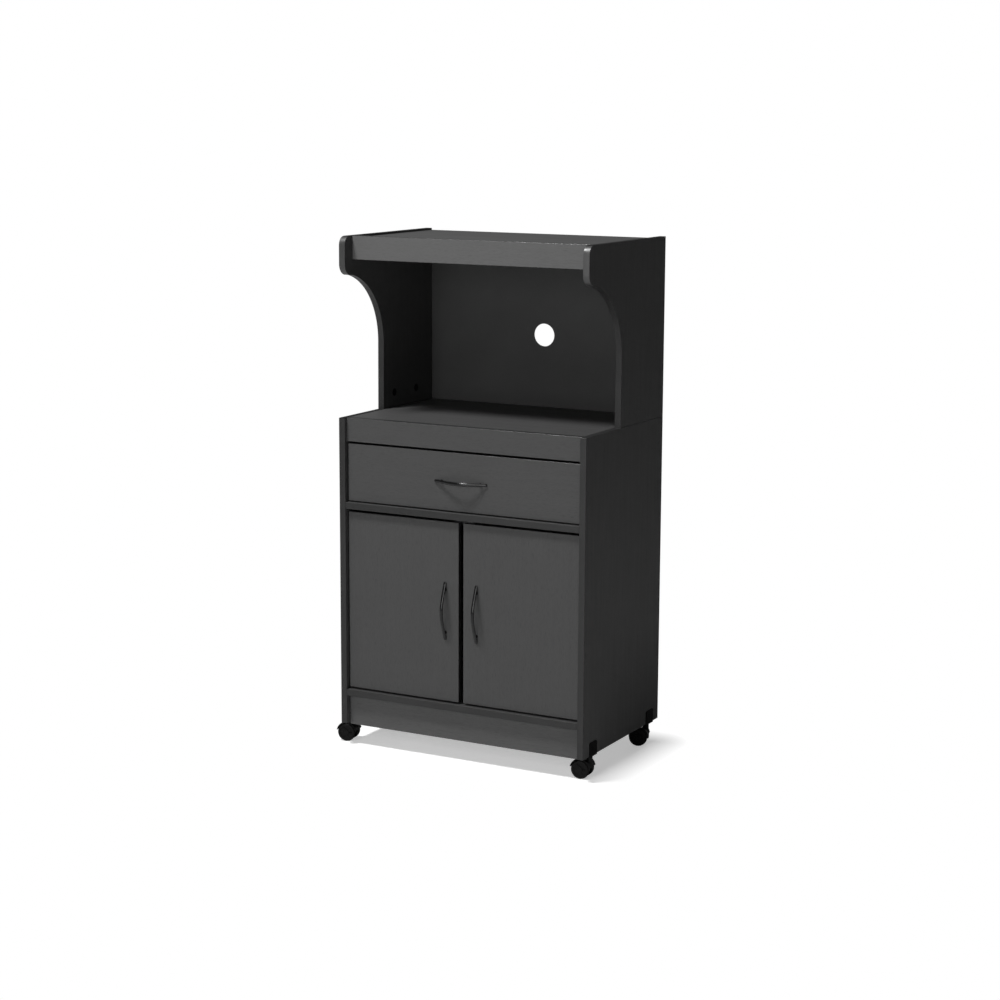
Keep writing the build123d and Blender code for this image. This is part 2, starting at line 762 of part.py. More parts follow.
with BuildPart() as drawer_left_side:
    block(
        (-drawer_outer, fronts_back_y, drawer_sides_z),
        (-drawer_inner, drawer_rear_y, drawer_sides_z + drawer_side_height),
    )
    block(
        (-drawer_inner - groove_depth, fronts_back_y, drawer_floor_z),
        (-drawer_inner, drawer_rear_y, floor_top),
        Mode.SUBTRACT,
    )
    cam_bores(drawer_joints, BACK, LEFT, drawer_side / 2, drawer_cam_depth)
    rods(drawer_back_screws, RIGHT, screw_radius, drawer_side, Mode.SUBTRACT)
    rods(member_screws, RIGHT, screw_radius, member_screw_length, Mode.SUBTRACT)

with BuildPart() as drawer_right_side:
    mirror(drawer_left_side.part, about=Plane.YZ)

with BuildPart() as drawer_back:
    block(
        (-drawer_inner, drawer_back_y, floor_top),
        (drawer_inner, drawer_rear_y, drawer_sides_z + drawer_side_height),
    )
    rods(drawer_back_screws, RIGHT, screw_radius, drawer_back_screw, Mode.SUBTRACT)
    rods(far_back_screws, LEFT, screw_radius, drawer_back_screw, Mode.SUBTRACT)

with BuildPart() as drawer_floor:
    floor_half = drawer_inner + groove_depth - groove_play
    block(
        (-floor_half, fronts_back_y - groove_depth + groove_play, drawer_floor_z),
        (floor_half, drawer_rear_y, floor_top),
    )

with BuildPart() as drawer_fixings:
    cam_discs_at(drawer_joints, BACK, LEFT, drawer_side / 2, drawer_cam_depth)
    cam_bolts_at(drawer_joints, BACK)
    screws_at(drawer_back_screws, RIGHT, drawer_back_screw)
    rods(member_screws, RIGHT, screw_radius, member_screw_length)
    rods(member_screws, RIGHT, screw_head_radius, runner_gauge)
    mirror(about=Plane.YZ)
    handle_screws_at(drawer_handle_screws)

# Roller runners: a channel on each side panel with a roller at its front, and a rail under each drawer
# side with a roller at its rear
channel_front_y = fronts_back_y + runner_gauge
front_axle_x = -inner_x + runner_gauge
rear_axle_x = -drawer_outer - runner_gauge
front_head_x = -inner_x + roller_far + axle_air
rear_head_x = -inner_x + roller_near - axle_air
with BuildPart() as cabinet_runners:
    channel = (
        (0, track_top - runner_gauge, runner_gauge, track_roof + runner_gauge),
        (0, track_top - runner_gauge, track_width, track_top),
        (0, track_roof, track_width, track_roof + runner_gauge),
    )
    for x0, z0, x1, z1 in channel:
        block((-inner_x + x0, channel_front_y, z0), (-inner_x + x1, channel_front_y + drawer_length, z1))
    rods(runner_screws, LEFT, screw_head_radius, runner_gauge, Mode.SUBTRACT)
    front_axle = [(front_axle_x, front_roller_y, front_roller_z)]
    rods(front_axle, RIGHT, axle_radius, front_head_x - front_axle_x)
    rods([(front_head_x, front_roller_y, front_roller_z)], RIGHT, axle_head_radius, axle_head_thickness)
    mirror(about=Plane.YZ)

with BuildPart() as drawer_runners:
    rail_top = rail_bottom + runner_gauge
    rail = (
        (rear_axle_x, member_bottom, -drawer_outer, rail_top),
        (rear_axle_x, member_bottom, -drawer_inner, drawer_sides_z),
        (-inner_x + rail_inner, rail_bottom, -drawer_outer, rail_top),
    )
    for x0, z0, x1, z1 in rail:
        block((x0, fronts_back_y, z0), (x1, drawer_rear_y, z1))
    rods(member_screws, RIGHT, screw_head_radius, runner_gauge, Mode.SUBTRACT)
    rear_axle = [(rear_axle_x, rear_roller_y, rear_roller_z)]
    rods(rear_axle, LEFT, axle_radius, rear_axle_x - rear_head_x)
    rods([(rear_head_x, rear_roller_y, rear_roller_z)], LEFT, axle_head_radius, axle_head_thickness)
    mirror(about=Plane.YZ)


def rollers(y, z):
    """A pair of rollers on one line across the cabinet."""
    start = [(-inner_x + roller_near, y, z)]
    with BuildPart() as pair:
        rods(start, RIGHT, roller_radius, roller_far - roller_near)
        fillet(pair.edges(), edge_rounding)
        rods(start, RIGHT, axle_radius + axle_play, roller_far - roller_near, Mode.SUBTRACT)
        mirror(about=Plane.YZ)
    return pair


cabinet_rollers = rollers(front_roller_y, front_roller_z)
drawer_rollers = rollers(rear_roller_y, rear_roller_z)

# Screws in the side panels and the middle shelf
with BuildPart() as cabinet_screws:
    screws_at(hinge_screws + saddle_screws, LEFT)
    rods(runner_screws, LEFT, screw_radius, screw_length)
    rods(runner_screws, LEFT, screw_head_radius, runner_gauge)
    mirror(about=Plane.YZ)
    screws_at(catch_screws, UP, catch_screw_length)

# Castors: a saddle clipped over each side panel's bottom edge, a stem pressed into it, and a hood with
# two wheels
castor_x = inner_x + board / 2
castor_places = {name: (side * castor_x, castor_ys[end]) for name, side, end, heading in castors}
stem_tops = [(x, y, floor_gap) for x, y in castor_places.values()]
with BuildPart() as castor_saddles:
    half_x, half_y = board / 2 + saddle_gauge, saddle_length / 2
    for x, y in castor_places.values():
        block(
            (x - half_x, y - half_y, floor_gap - saddle_gauge),
            (x + half_x, y + half_y, floor_gap + saddle_height),
        )
    fillet(castor_saddles.edges().filter_by(Axis.X).group_by(Axis.Z)[-1], saddle_corner)
    for x, y in castor_places.values():
        block(
            (x - board / 2, y - half_y, floor_gap),
            (x + board / 2, y + half_y, floor_gap + saddle_height),
            Mode.SUBTRACT,
        )
    rods(stem_tops, DOWN, stem_radius, saddle_gauge, Mode.SUBTRACT)
    rods(saddle_screws, LEFT, screw_radius, saddle_gauge, Mode.SUBTRACT)
    rods([(-x, y, z) for x, y, z in saddle_screws], RIGHT, screw_radius, saddle_gauge, Mode.SUBTRACT)

with BuildPart() as castor_stems:
    rods(stem_tops, DOWN, stem_radius, stem_length)
    chamfer(castor_stems.edges().group_by(Axis.Z)[0], stem_tip)
    rods(moved(stem_tops, DOWN, saddle_gauge), DOWN, collar_radius, collar_height)

# One castor, with its swivel axis on Z and its wheels behind it along -Y
wheel_centre = (0, -trail, wheel_radius)
wheel_plane = Plane(origin=wheel_centre, x_dir=(1, 0, 0), z_dir=(0, -1, 0))
wheel_axis = Axis(wheel_centre, (1, 0, 0))
hood_radius = wheel_radius + hood_gap + hood_wall
boss_bottom = wheel_radius + boss_above_axle
boss_top = floor_gap - saddle_gauge - collar_height - swivel_gap
socket_bottom = floor_gap - stem_length - swivel_gap
with BuildPart() as hood:
    across = Plane(origin=wheel_centre, z_dir=(1, 0, 0))
    with Locations(across):
        Cylinder(hood_radius, 2 * hood_half_width)
    fillet(hood.edges().filter_by(GeomType.CIRCLE), hood_rounding)
    with Locations(across):
        Cylinder(hood_radius - hood_wall, 2 * hood_half_width, mode=Mode.SUBTRACT)
    block(
        (-hood_half_width, -trail - hood_radius, wheel_radius - hood_radius),
        (hood_half_width, -trail + hood_radius, wheel_radius + skirt_above_axle),
        Mode.SUBTRACT,
    )
    with BuildSketch(Plane.YZ):
        with Locations((-trail, wheel_radius)):
            Circle(hood_radius - hood_wall / 2)
        with Locations((-trail, wheel_radius - web_below_axle)):
            Rectangle(2 * hood_radius, hood_radius, align=(Align.CENTER, Align.MAX), mode=Mode.SUBTRACT)
    extrude(amount=web_half_width, both=True)
    rods([(0, 0, boss_bottom)], UP, boss_radius, boss_top - boss_bottom)
    rods([(0, 0, socket_bottom)], UP, stem_radius + stem_play, floor_gap, Mode.SUBTRACT)
    for side in (LEFT, RIGHT):
        rods([wheel_centre], side, stub_radius, stub_end)
        heads = moved([wheel_centre], side, stub_head_start)
        rods(heads, side, stub_head_radius, stub_end - stub_head_start)

bore = stub_radius + stub_play
chamber = stub_head_radius + stub_room
dish = wheel_outer - wheel_dish_depth
wheel_dish_radius = wheel_radius - wheel_tread_height
wheel_outline = (
    (hub_inner, bore),
    (hub_inner, hub_radius),
    (wheel_inner, hub_radius),
    (wheel_inner, wheel_radius),
    (wheel_outer, wheel_radius),
    (wheel_outer, wheel_dish_radius),
    (dish, wheel_dish_radius),
    (dish, wheel_cap_radius),
    (wheel_outer, wheel_cap_radius),
    (wheel_outer, 0),
    (stub_end + stub_room, 0),
    (stub_end + stub_room, chamber),
    (stub_head_start - stub_room, chamber),
    (stub_head_start - stub_room, bore),
    (hub_inner, bore),
)
with BuildPart() as right_wheel:
    with BuildSketch(wheel_plane) as wheel_profile:
        with BuildLine():
            Polyline(*wheel_outline)
        make_face()
        rim = wheel_profile.vertices().group_by(Axis.Y)[-1].sort_by(Axis.X)
        fillet(rim[-1], wheel_rounding)
    revolve(axis=wheel_axis)

with BuildPart() as left_wheel:
    mirror(right_wheel.part, about=Plane.YZ)

castor_pieces = {}
for name, side, end, heading in castors:
    place = Location((*castor_places[name], 0), (0, 0, -heading))
    castor_pieces[f"{name}_castor_hood"] = placed(hood, place)
    castor_pieces[f"{name}_castor_left_wheel"] = placed(left_wheel, place)
    castor_pieces[f"{name}_castor_right_wheel"] = placed(right_wheel, place)

pieces = {
    "left_side_panel": left_side_panel,
    "right_side_panel": right_side_panel,
    "worktop": worktop,
    "top_fascia": top_fascia,
    "mid_shelf": mid_shelf,
    "bottom_shelf": bottom_shelf,
    "kick_rail": kick_rail,
    "inner_shelf": inner_shelf,
    "base_back": base_back,
    "hutch_left_side": hutch_left_side,
    "hutch_right_side": hutch_right_side,
    "hutch_top": hutch_top,
    "hutch_apron": hutch_apron,
    "hutch_back": hutch_back,
    "shelf_pins": shelf_pins,
    "cam_bolts": cam_bolts,
    "cam_discs": cam_discs,
    "dowels": dowels,
    "back_nails": back_nails,
    "magnetic_catch": magnetic_catch,
    "catch_magnets": catch_magnets,
    "cabinet_screws": cabinet_screws,
    "hinge_arms": hinge_arms,
    "cabinet_runners": cabinet_runners,
    "cabinet_rollers": cabinet_rollers,
    "castor_saddles": castor_saddles,
    "castor_stems": castor_stems,
    "drawer_front": drawer_front,
    "drawer_left_side": drawer_left_side,
    "drawer_right_side": drawer_right_side,
    "drawer_back": drawer_back,
    "drawer_floor": drawer_floor,
    "drawer_handle": drawer_handle,
    "drawer_fixings": drawer_fixings,
    "drawer_runners": drawer_runners,
    "drawer_rollers": drawer_rollers,
}
pieces |= {f"left_{name}": piece for name, piece in left_pieces.items()}
pieces |= {f"right_{name}": piece for name, piece in right_pieces.items()}
pieces |= castor_pieces

os.makedirs("parts", exist_ok=True)
for name, piece in pieces.items():
    piece.part.label = name
    export_step(piece.part, f"parts/{name}.step")
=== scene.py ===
"""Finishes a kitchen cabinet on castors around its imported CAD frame: boards, handles, castors and
fittings with their materials, and a plain pale stage. Laid out as an add-on and run as a script."""

import json
import math

import bmesh
import bpy
from mathutils import Matrix, Vector

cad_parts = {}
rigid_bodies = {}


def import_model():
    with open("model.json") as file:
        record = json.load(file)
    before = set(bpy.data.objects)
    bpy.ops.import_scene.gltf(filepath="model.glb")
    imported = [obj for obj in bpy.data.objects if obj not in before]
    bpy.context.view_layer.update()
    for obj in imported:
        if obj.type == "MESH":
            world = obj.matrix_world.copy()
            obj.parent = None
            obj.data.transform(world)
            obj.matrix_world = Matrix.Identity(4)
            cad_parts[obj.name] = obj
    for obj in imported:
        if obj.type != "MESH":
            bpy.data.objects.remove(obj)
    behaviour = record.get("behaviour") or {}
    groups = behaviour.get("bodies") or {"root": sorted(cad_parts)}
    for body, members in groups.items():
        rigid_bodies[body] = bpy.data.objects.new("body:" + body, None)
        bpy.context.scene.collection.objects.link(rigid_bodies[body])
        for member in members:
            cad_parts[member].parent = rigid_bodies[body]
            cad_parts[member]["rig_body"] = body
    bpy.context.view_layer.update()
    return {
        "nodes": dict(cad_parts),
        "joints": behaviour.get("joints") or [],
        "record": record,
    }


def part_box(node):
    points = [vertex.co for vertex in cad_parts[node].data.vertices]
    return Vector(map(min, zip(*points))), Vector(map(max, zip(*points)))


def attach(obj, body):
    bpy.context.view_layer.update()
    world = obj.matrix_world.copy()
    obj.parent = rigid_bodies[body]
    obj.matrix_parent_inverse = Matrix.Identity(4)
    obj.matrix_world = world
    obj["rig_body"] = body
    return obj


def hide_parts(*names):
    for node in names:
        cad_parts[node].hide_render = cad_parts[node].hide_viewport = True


bl_info = {
    "name": "Kitchen cabinet",
    "version": (1, 0, 0),
    "blender": (4, 5, 0),
    "location": "View3D > Sidebar > Cabinet",
    "description": "Finishes a kitchen cabinet on castors around its CAD frame",
    "category": "Object",
}

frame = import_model()

MM = 0.001
NODES = frame["nodes"]
JOINTS = {joint["name"]: joint for joint in frame["joints"]}
SLOTS = {part["node"]: part["material_slot"] for part in frame["record"]["subparts"]}
X, Y, Z = Vector((1, 0, 0)), Vector((0, 1, 0)), Vector((0, 0, 1))
AXES = (X, Y, Z)
CORNERS = ("front_left", "front_right", "rear_left", "rear_right")

# The least cosine between directions that count as the same, and how far apart in metres two
# places that count as the same may be: nearly exact, and after a spin or a bevel
SAME_WAY = 0.999
SAME_PLACE = 1e-6
NEAR = 1e-5

# Each board's node, with the axis of its thickness and the axis of its grain
BOARDS = {
    "left_side_panel": (0, 2),
    "right_side_panel": (0, 2),
    "worktop": (2, 0),
    "top_fascia": (1, 0),
    "mid_shelf": (2, 0),
    "bottom_shelf": (2, 0),
    "kick_rail": (1, 0),
    "inner_shelf": (2, 0),
    "hutch_top": (2, 0),
    "hutch_apron": (1, 0),
    "left_door": (1, 2),
    "right_door": (1, 2),
    "drawer_front": (1, 0),
    "drawer_left_side": (0, 1),
    "drawer_right_side": (0, 1),
    "drawer_back": (1, 0),
    "drawer_floor": (2, 0),
}


# Properties


def colour_setting(name, description, default):
    """A colour that can be set."""
    return bpy.props.FloatVectorProperty(
        name=name, description=description, subtype="COLOR", size=4, default=default, min=0, max=1
    )


def power_setting(name, description, default):
    """A lamp's power that can be set, in watts."""
    return bpy.props.FloatProperty(
        name=name, description=description, default=default, min=0, max=2000, unit="POWER"
    )


class CabinetSizes(bpy.types.PropertyGroup):
    """Sizes of the fine shapes that the CAD frame leaves plain."""

    arris: bpy.props.FloatProperty(
        name="Board arris",
        description="Radius of a board's edges",
        default=0.8 * MM,
        min=0.1 * MM,
        max=2 * MM,
        unit="LENGTH",
    )
    sheet_arris: bpy.props.FloatProperty(
        name="Back sheet arris",
        description="Radius of the thin back sheets' edges",
        default=0.3 * MM,
        min=0.1 * MM,
        max=1 * MM,
        unit="LENGTH",
    )
    cam_gap: bpy.props.FloatProperty(
        name="Cam gap",
        description="Gap between a cam disc and the wall of its pocket",
        default=0.25 * MM,
        min=0.05 * MM,
        max=1 * MM,
        unit="LENGTH",
    )
    handle_sections: bpy.props.IntProperty(
        name="Handle sections",
        description="How many sections a bow handle is lofted through",
        default=23,
        min=7,
        max=61,
    )


class CabinetFinishes(bpy.types.PropertyGroup):
    """Colours and surfaces."""

    board_colour: colour_setting(
        "Board", "Colour of the melamine faces", (0.06, 0.06, 0.06, 1)
    )
    edge_colour: colour_setting(
        "Edge band", "Colour of the edge band on the boards", (0.0215, 0.0215, 0.0215, 1)
    )
    sheet_colour: colour_setting(
        "Back sheet", "Colour of the coated fibreboard at the back", (0.045, 0.045, 0.045, 1)
    )
    handle_colour: colour_setting(
        "Handle enamel", "Colour of the handles' enamel", (0.003, 0.003, 0.0031, 1)
    )
    plastic_colour: colour_setting(
        "Castor plastic", "Colour of the castors' moulded plastic", (0.003, 0.003, 0.003, 1)
    )
    grain_strength: bpy.props.FloatProperty(
        name="Grain",
        description="How strongly the grain shows in the boards' colour",
        subtype="FACTOR",
        default=0.12,
        min=0,
        max=1,
    )
    board_roughness: bpy.props.FloatProperty(
        name="Board roughness",
        description="Mean roughness of the melamine faces",
        subtype="FACTOR",
        default=0.5,
        min=0.05,
        max=1,
    )


class CabinetStage(bpy.types.PropertyGroup):
    """Lamps, floor and camera."""

    key_power: power_setting("Key lamp", "Power of the high lamp at the front left", 122)
    front_power: power_setting("Front lamp", "Power of the wide lamp in front", 34)
    back_power: power_setting("Back lamp", "Power of the low lamp behind", 12)
    sky_light: bpy.props.FloatProperty(
        name="Surrounding light",
        description="Strength of the light from all round",
        default=0.045,
        min=0,
        max=2,
    )
    sky_gloss: bpy.props.FloatProperty(
        name="Surrounding gloss",
        description="Strength of the surroundings in glossy reflections",
        default=0.18,
        min=0,
        max=2,
    )
    lens: bpy.props.FloatProperty(
        name="Lens",
        description="Focal length of the camera, on a sensor 36 mm wide",
        default=80.404,
        min=20,
        max=300,
        subtype="DISTANCE_CAMERA",
    )


# Shader maths


class Value:
    """A shader socket that takes part in sums: each operator adds the Math node for it."""

    def __init__(self, finish, socket):
        self.finish, self.socket = finish, socket

    def sum(self, operation, first, second):
        return self.finish.node("Math", {"operation": operation}, {0: first, 1: second})

    def __add__(self, other):
        return self.sum("ADD", self, other)

    def __radd__(self, other):
        return self.sum("ADD", other, self)

    def __mul__(self, other):
        return self.sum("MULTIPLY", self, other)

    def __rmul__(self, other):
        return self.sum("MULTIPLY", other, self)


# The part of its range that a noise mostly keeps to
NOISE_LOW, NOISE_HIGH = 0.3, 0.7


class Finish:
    """The node tree of a material or the world while it is made."""

    def __init__(self, owner):
        self.owner = owner
        owner.use_nodes = True
        self.tree = owner.node_tree
        self.tree.nodes.clear()

    def node(self, kind, settings=None, inputs=None, output=0):
        """Adds a node: its settings, then the values or links of its sockets. Gives one output."""
        made = self.tree.nodes.new("ShaderNode" + kind)
        for name, value in (settings or {}).items():
            setattr(made, name, value)
        for name, value in (inputs or {}).items():
            if isinstance(value, Value):
                self.tree.links.new(value.socket, made.inputs[name])
            else:
                made.inputs[name].default_value = value
        return Value(self, made.outputs[output]) if made.outputs else None

    def ray(self, kind):
        """1 on rays of a kind, such as Camera, and else 0."""
        return self.node("LightPath", output=f"Is {kind} Ray")

    def coordinates(self, stretch=(1, 1, 1)):
        """Places on the piece in metres, scaled along each axis."""
        place = self.node("TexCoord", output="Object")
        return self.node("Mapping", inputs={"Vector": place, "Scale": stretch})

    def noise(self, scale, detail, stretch=(1, 1, 1)):
        """Soft noise from 0 to 1. Its scale is in bumps a metre."""
        inputs = {"Vector": self.coordinates(stretch), "Scale": scale, "Detail": detail}
        return self.node("TexNoise", inputs=inputs)

    def spread(self, value, low, high, new_low=0.0, new_high=1.0):
        """A value's low to high made new_low to new_high, and held there."""
        inputs = {0: value, 1: low, 2: high, 3: new_low, 4: new_high}
        return self.node("MapRange", {"clamp": True}, inputs)

    def over(self, noise, new_low=0.0, new_high=1.0):
        """A noise's usual range made new_low to new_high."""
        return self.spread(noise, NOISE_LOW, NOISE_HIGH, new_low, new_high)

    def mix(self, share, first, second):
        """From the first colour to the second."""
        return self.node("Mix", {"data_type": "RGBA"}, {0: share, 6: first, 7: second}, output=2)

    def bump(self, height, distance, strength=1.0):
        """A normal from heights. Distance is in metres."""
        inputs = {"Height": height, "Distance": distance, "Strength": strength}
        return self.node("Bump", inputs=inputs, output="Normal")

    def surface(self, **inputs):
        """Ends the tree in a Principled shader, whose sockets are given with _ for each space."""
        named = {name.replace("_", " "): value for name, value in inputs.items()}
        shader = self.node("BsdfPrincipled", inputs=named)
        self.node("OutputMaterial", inputs={"Surface": shader})
        return self.owner


def shade(colour, factor):
    """A colour made darker or lighter."""
    return tuple(min(1.0, part * factor) for part in colour[:3]) + (1.0,)


def new_finish(name):
    """A new, empty material to build."""
    return Finish(bpy.data.materials.new(name))


def along(axis, length, width):
    """Scales that draw a pattern out along an axis: length and width of its marks in metres."""
    return tuple(1 / length if n == axis else 1 / width for n in range(3))


def clouded(name, dark, light, cloud, marks, roughness, relief, **rest):
    """A finish clouded from dark to light, whose marks carry its roughness and its relief.

    Cloud and marks hold what their noises take, roughness its two ends, and relief its height in
    metres and its strength."""
    made = new_finish(name)
    skin = made.noise(*marks)
    return made.surface(
        Base_Color=made.mix(made.over(made.noise(*cloud)), dark, light),
        Roughness=made.over(skin, *roughness),
        Normal=made.bump(skin, *relief),
        **rest,
    )


def melamine(name, grain_axis, colour, roughness, grain_strength):
    """Melamine with a faint pressed wood grain that runs along an axis."""
    made = new_finish(name)
    cloud = made.noise(4.0, 2.0)
    streak = made.noise(1.0, 4.0, along(grain_axis, 0.16, 0.009))
    pore = made.noise(1.0, 3.0, along(grain_axis, 0.012, 0.0007))
    figure = made.over(streak) * 0.6 + made.over(cloud) * 0.4
    contrast = 0.3 * grain_strength
    tone = made.mix(figure, shade(colour, 1 - contrast), shade(colour, 1 + contrast))
    pores = made.spread(pore, 0.32, 0.46)
    return made.surface(
        Base_Color=made.mix(pores, shade(colour, 0.8), tone),
        Roughness=made.spread(figure, 0.0, 1.0, roughness + 0.05, roughness - 0.05),
        Specular_IOR_Level=0.15,
        Normal=made.bump(pores * 0.6 + streak * 0.4, 0.00008, 0.35),
    )


def edge_band(name, colour, roughness, level=0.3):
    """Thin plastic edge band, with fine scraper lines."""
    return clouded(
        name,
        dark=shade(colour, 0.9),
        light=shade(colour, 1.1),
        cloud=(9.0, 3.0),
        marks=(1.0, 2.0, (60, 60, 60)),
        roughness=(roughness - 0.06, roughness + 0.06),
        relief=(0.00005, 0.3),
        Specular_IOR_Level=level,
    )


def coated_sheet(name, colour):
    """The coated face of thin fibreboard: matt, a little cloudy."""
    return clouded(
        name,
        dark=shade(colour, 0.88),
        light=shade(colour, 1.12),
        cloud=(5.0, 3.0),
        marks=(420.0, 3.0),
        roughness=(0.56, 0.68),
        relief=(0.00006, 0.3),
        Specular_IOR_Level=0.25,
    )


def screen_sheet(name, colour):
    """The rear of thin fibreboard, with the woven print of the press's screen."""
    made = new_finish(name)
    cloud = made.noise(7.0, 4.0)
    fibre = made.noise(300.0, 4.0)
    warp, weft = (
        made.node(
            "TexWave",
            {"wave_type": "BANDS", "wave_profile": "SIN", "bands_direction": axis},
            {"Vector": made.coordinates(), "Scale": 110.0},
        )
        for axis in "XZ"
    )
    tone = made.over(cloud) * 0.5 + made.over(fibre) * 0.5
    return made.surface(
        Base_Color=made.mix(tone, shade(colour, 0.7), shade(colour, 1.2)),
        Roughness=made.over(fibre, 0.72, 0.86),
        Specular_IOR_Level=0.2,
        Normal=made.bump(warp * weft + fibre * 0.5, 0.00015, 0.5),
    )


def enamel(name, colour):
    """Black enamel on metal, polished, with faint handling marks."""
    made = new_finish(name)
    cloud = made.noise(60.0, 3.0)
    marks = made.noise(900.0, 2.0)
    return made.surface(
        Base_Color=made.mix(made.over(cloud), shade(colour, 0.85), shade(colour, 1.15)),
        Roughness=made.over(cloud, 0.16, 0.22),
        Specular_IOR_Level=0.35,
        Normal=made.bump(marks, 0.00002, 0.2),
    )


def plated_steel(name, colour, roughness):
    """Zinc-plated steel with fine drawing lines."""
    return clouded(
        name,
        dark=shade(colour, 0.82),
        light=shade(colour, 1.05),
        cloud=(40.0, 3.0),
        marks=(1.0, 3.0, (90, 700, 700)),
        roughness=(roughness - 0.07, roughness + 0.07),
        relief=(0.00003, 0.3),
        Metallic=1.0,
    )


def moulded(name, colour, roughness, texture=700.0, level=0.4):
    """Moulded plastic or a powder coat: a fine even texture, slightly cloudy."""
    return clouded(
        name,
        dark=shade(colour, 0.85),
        light=shade(colour, 1.2),
        cloud=(30.0, 3.0),
        marks=(texture, 2.0),
        roughness=(roughness - 0.06, roughness + 0.08),
        relief=(0.00008, 0.35),
        Specular_IOR_Level=level,
    )


def beech(name):
    """Plain beech, for dowels."""
    grain = (1.0, 4.0, (40, 900, 900))
    return clouded(
        name,
        dark=BEECH_DARK,
        light=BEECH_LIGHT,
        cloud=grain,
        marks=grain,
        roughness=(0.5, 0.65),
        relief=(0.00008, 0.4),
    )


# Colours of the fittings that hardly show
ZINC = (0.58, 0.58, 0.56, 1)
RUNNER_WHITE = (0.62, 0.62, 0.6, 1)
NYLON_WHITE = (0.68, 0.68, 0.65, 1)
FERRITE_GREY = (0.1, 0.1, 0.105, 1)
BEECH_DARK = (0.5, 0.33, 0.18, 1)
BEECH_LIGHT = (0.66, 0.48, 0.29, 1)

FINISHES = {}


def make_finishes(colours):
    """All of the cabinet's materials, by name."""
    board = tuple(colours.board_colour)
    surface = colours.board_roughness, colours.grain_strength
    for axis, letter in enumerate("xyz"):
        FINISHES[f"board_{letter}"] = melamine(f"melamine_grain_{letter}", axis, board, *surface)
    # Lighter melamine copies: the apron's, and the kick rail's as painted light against the shelf's
    # shadow
    for name, factor in (("apron", 1.6), ("kick", 1.3)):
        FINISHES[name] = melamine(f"melamine_{name}", 0, shade(board, factor), *surface)
    edge = tuple(colours.edge_colour)
    sheet = tuple(colours.sheet_colour)
    plastic = tuple(colours.plastic_colour)
    FINISHES["edge"] = edge_band("edge_band", edge, 0.42)
    FINISHES["arris"] = edge_band("edge_band_arris", edge, 0.42)
    # Twice as light: a painted highlight along the front boards' arrises
    FINISHES["painted_highlight_arris"] = edge_band("edge_band_painted_highlight_arris", shade(edge, 2), 0.28, 0.6)
    # 1.6 times lighter: a painted highlight over the hutch sides' noses
    FINISHES["nose"] = edge_band("edge_band_nose_painted_highlight", shade(edge, 1.6), 0.42, 0.6)
    # A third as light: painted shade along the side boards' tops
    FINISHES["painted_shade_top"] = edge_band("edge_band_painted_shade", shade(edge, 0.35), 0.5, 0.15)
    FINISHES["sheet"] = coated_sheet("sheet_coated_face", sheet)
    FINISHES["sheet_rear"] = screen_sheet("sheet_screen_face", sheet)
    FINISHES["handle_metal"] = enamel("handle_enamel", tuple(colours.handle_colour))
    FINISHES["hardware_steel"] = plated_steel("zinc_plated_steel", ZINC, 0.34)
    FINISHES["runner_metal"] = moulded("runner_enamel", RUNNER_WHITE, 0.4, 500.0, 0.5)
    FINISHES["roller_plastic"] = moulded("roller_nylon", NYLON_WHITE, 0.42)
    FINISHES["castor_plastic"] = moulded("castor_nylon", plastic, 0.45, 700.0, 0.15)
    FINISHES["wheel_plastic"] = moulded("wheel_polyamide", shade(plastic, 1.2), 0.4, 700.0, 0.12)
    FINISHES["saddle_metal"] = moulded("saddle_powder_coat", shade(plastic, 0.6), 0.5, 1200.0, 0.05)
    FINISHES["catch_plastic"] = moulded("catch_moulding", shade(plastic, 3), 0.45)
    FINISHES["magnet"] = moulded("ferrite", FERRITE_GREY, 0.7, 400.0)
    FINISHES["dowel_wood"] = beech("dowel_beech")
    for name, obj in NODES.items():
        finish = {"black_board": "board_x", "back_board": "sheet"}.get(SLOTS[name], SLOTS[name])
        obj.data.materials.clear()
        obj.data.materials.append(FINISHES[finish])


# Mesh helpers


def edges_where(mesh, test):
    """The edges at both of whose ends a test of the place holds."""
    return [edge for edge in mesh.edges if all(test(vert.co) for vert in edge.verts)]


def verts_of(made):
    """The vertices of what an extrude operator has made."""
    return [item for item in made["geom"] if isinstance(item, bmesh.types.BMVert)]


def cut_across(mesh, point, normal, **rest):
    """Cuts all of a mesh along the plane at a point."""
    every = [*mesh.verts, *mesh.edges, *mesh.faces]
    bmesh.ops.bisect_plane(mesh, geom=every, plane_co=point, plane_no=normal, **rest)


def round_edges(mesh, edges, radius, segments):
    """Rounds edges with the bevel operator."""
    bmesh.ops.bevel(
        mesh,
        geom=list(edges),
        offset=radius,
        offset_type="OFFSET",
        segments=segments,
        profile=0.5,
        affect="EDGES",
        clamp_overlap=True,
        material=-1,
    )


def plain_box(low, high):
    """A box between two corners."""
    mesh = bmesh.new()
    bmesh.ops.create_cube(mesh, size=1)
    bmesh.ops.scale(mesh, vec=high - low, verts=mesh.verts)
    bmesh.ops.translate(mesh, vec=(low + high) / 2, verts=mesh.verts)
    return mesh


def face_at(mesh, point, normal):
    """The flat face that looks along normal and holds the point."""
    for face in mesh.faces:
        height = (point - face.verts[0].co).dot(normal)
        if face.normal.dot(normal) > SAME_WAY and abs(height) < SAME_PLACE:
            if bmesh.geometry.intersect_face_point(face, point):
                return face
    raise RuntimeError(f"there is no flat face at {tuple(point)}")


# Half a patch's square over the patch's radius, and the square's inset over that half
PATCH_MARGIN = 1.35
PATCH_INSET = 1 / 8


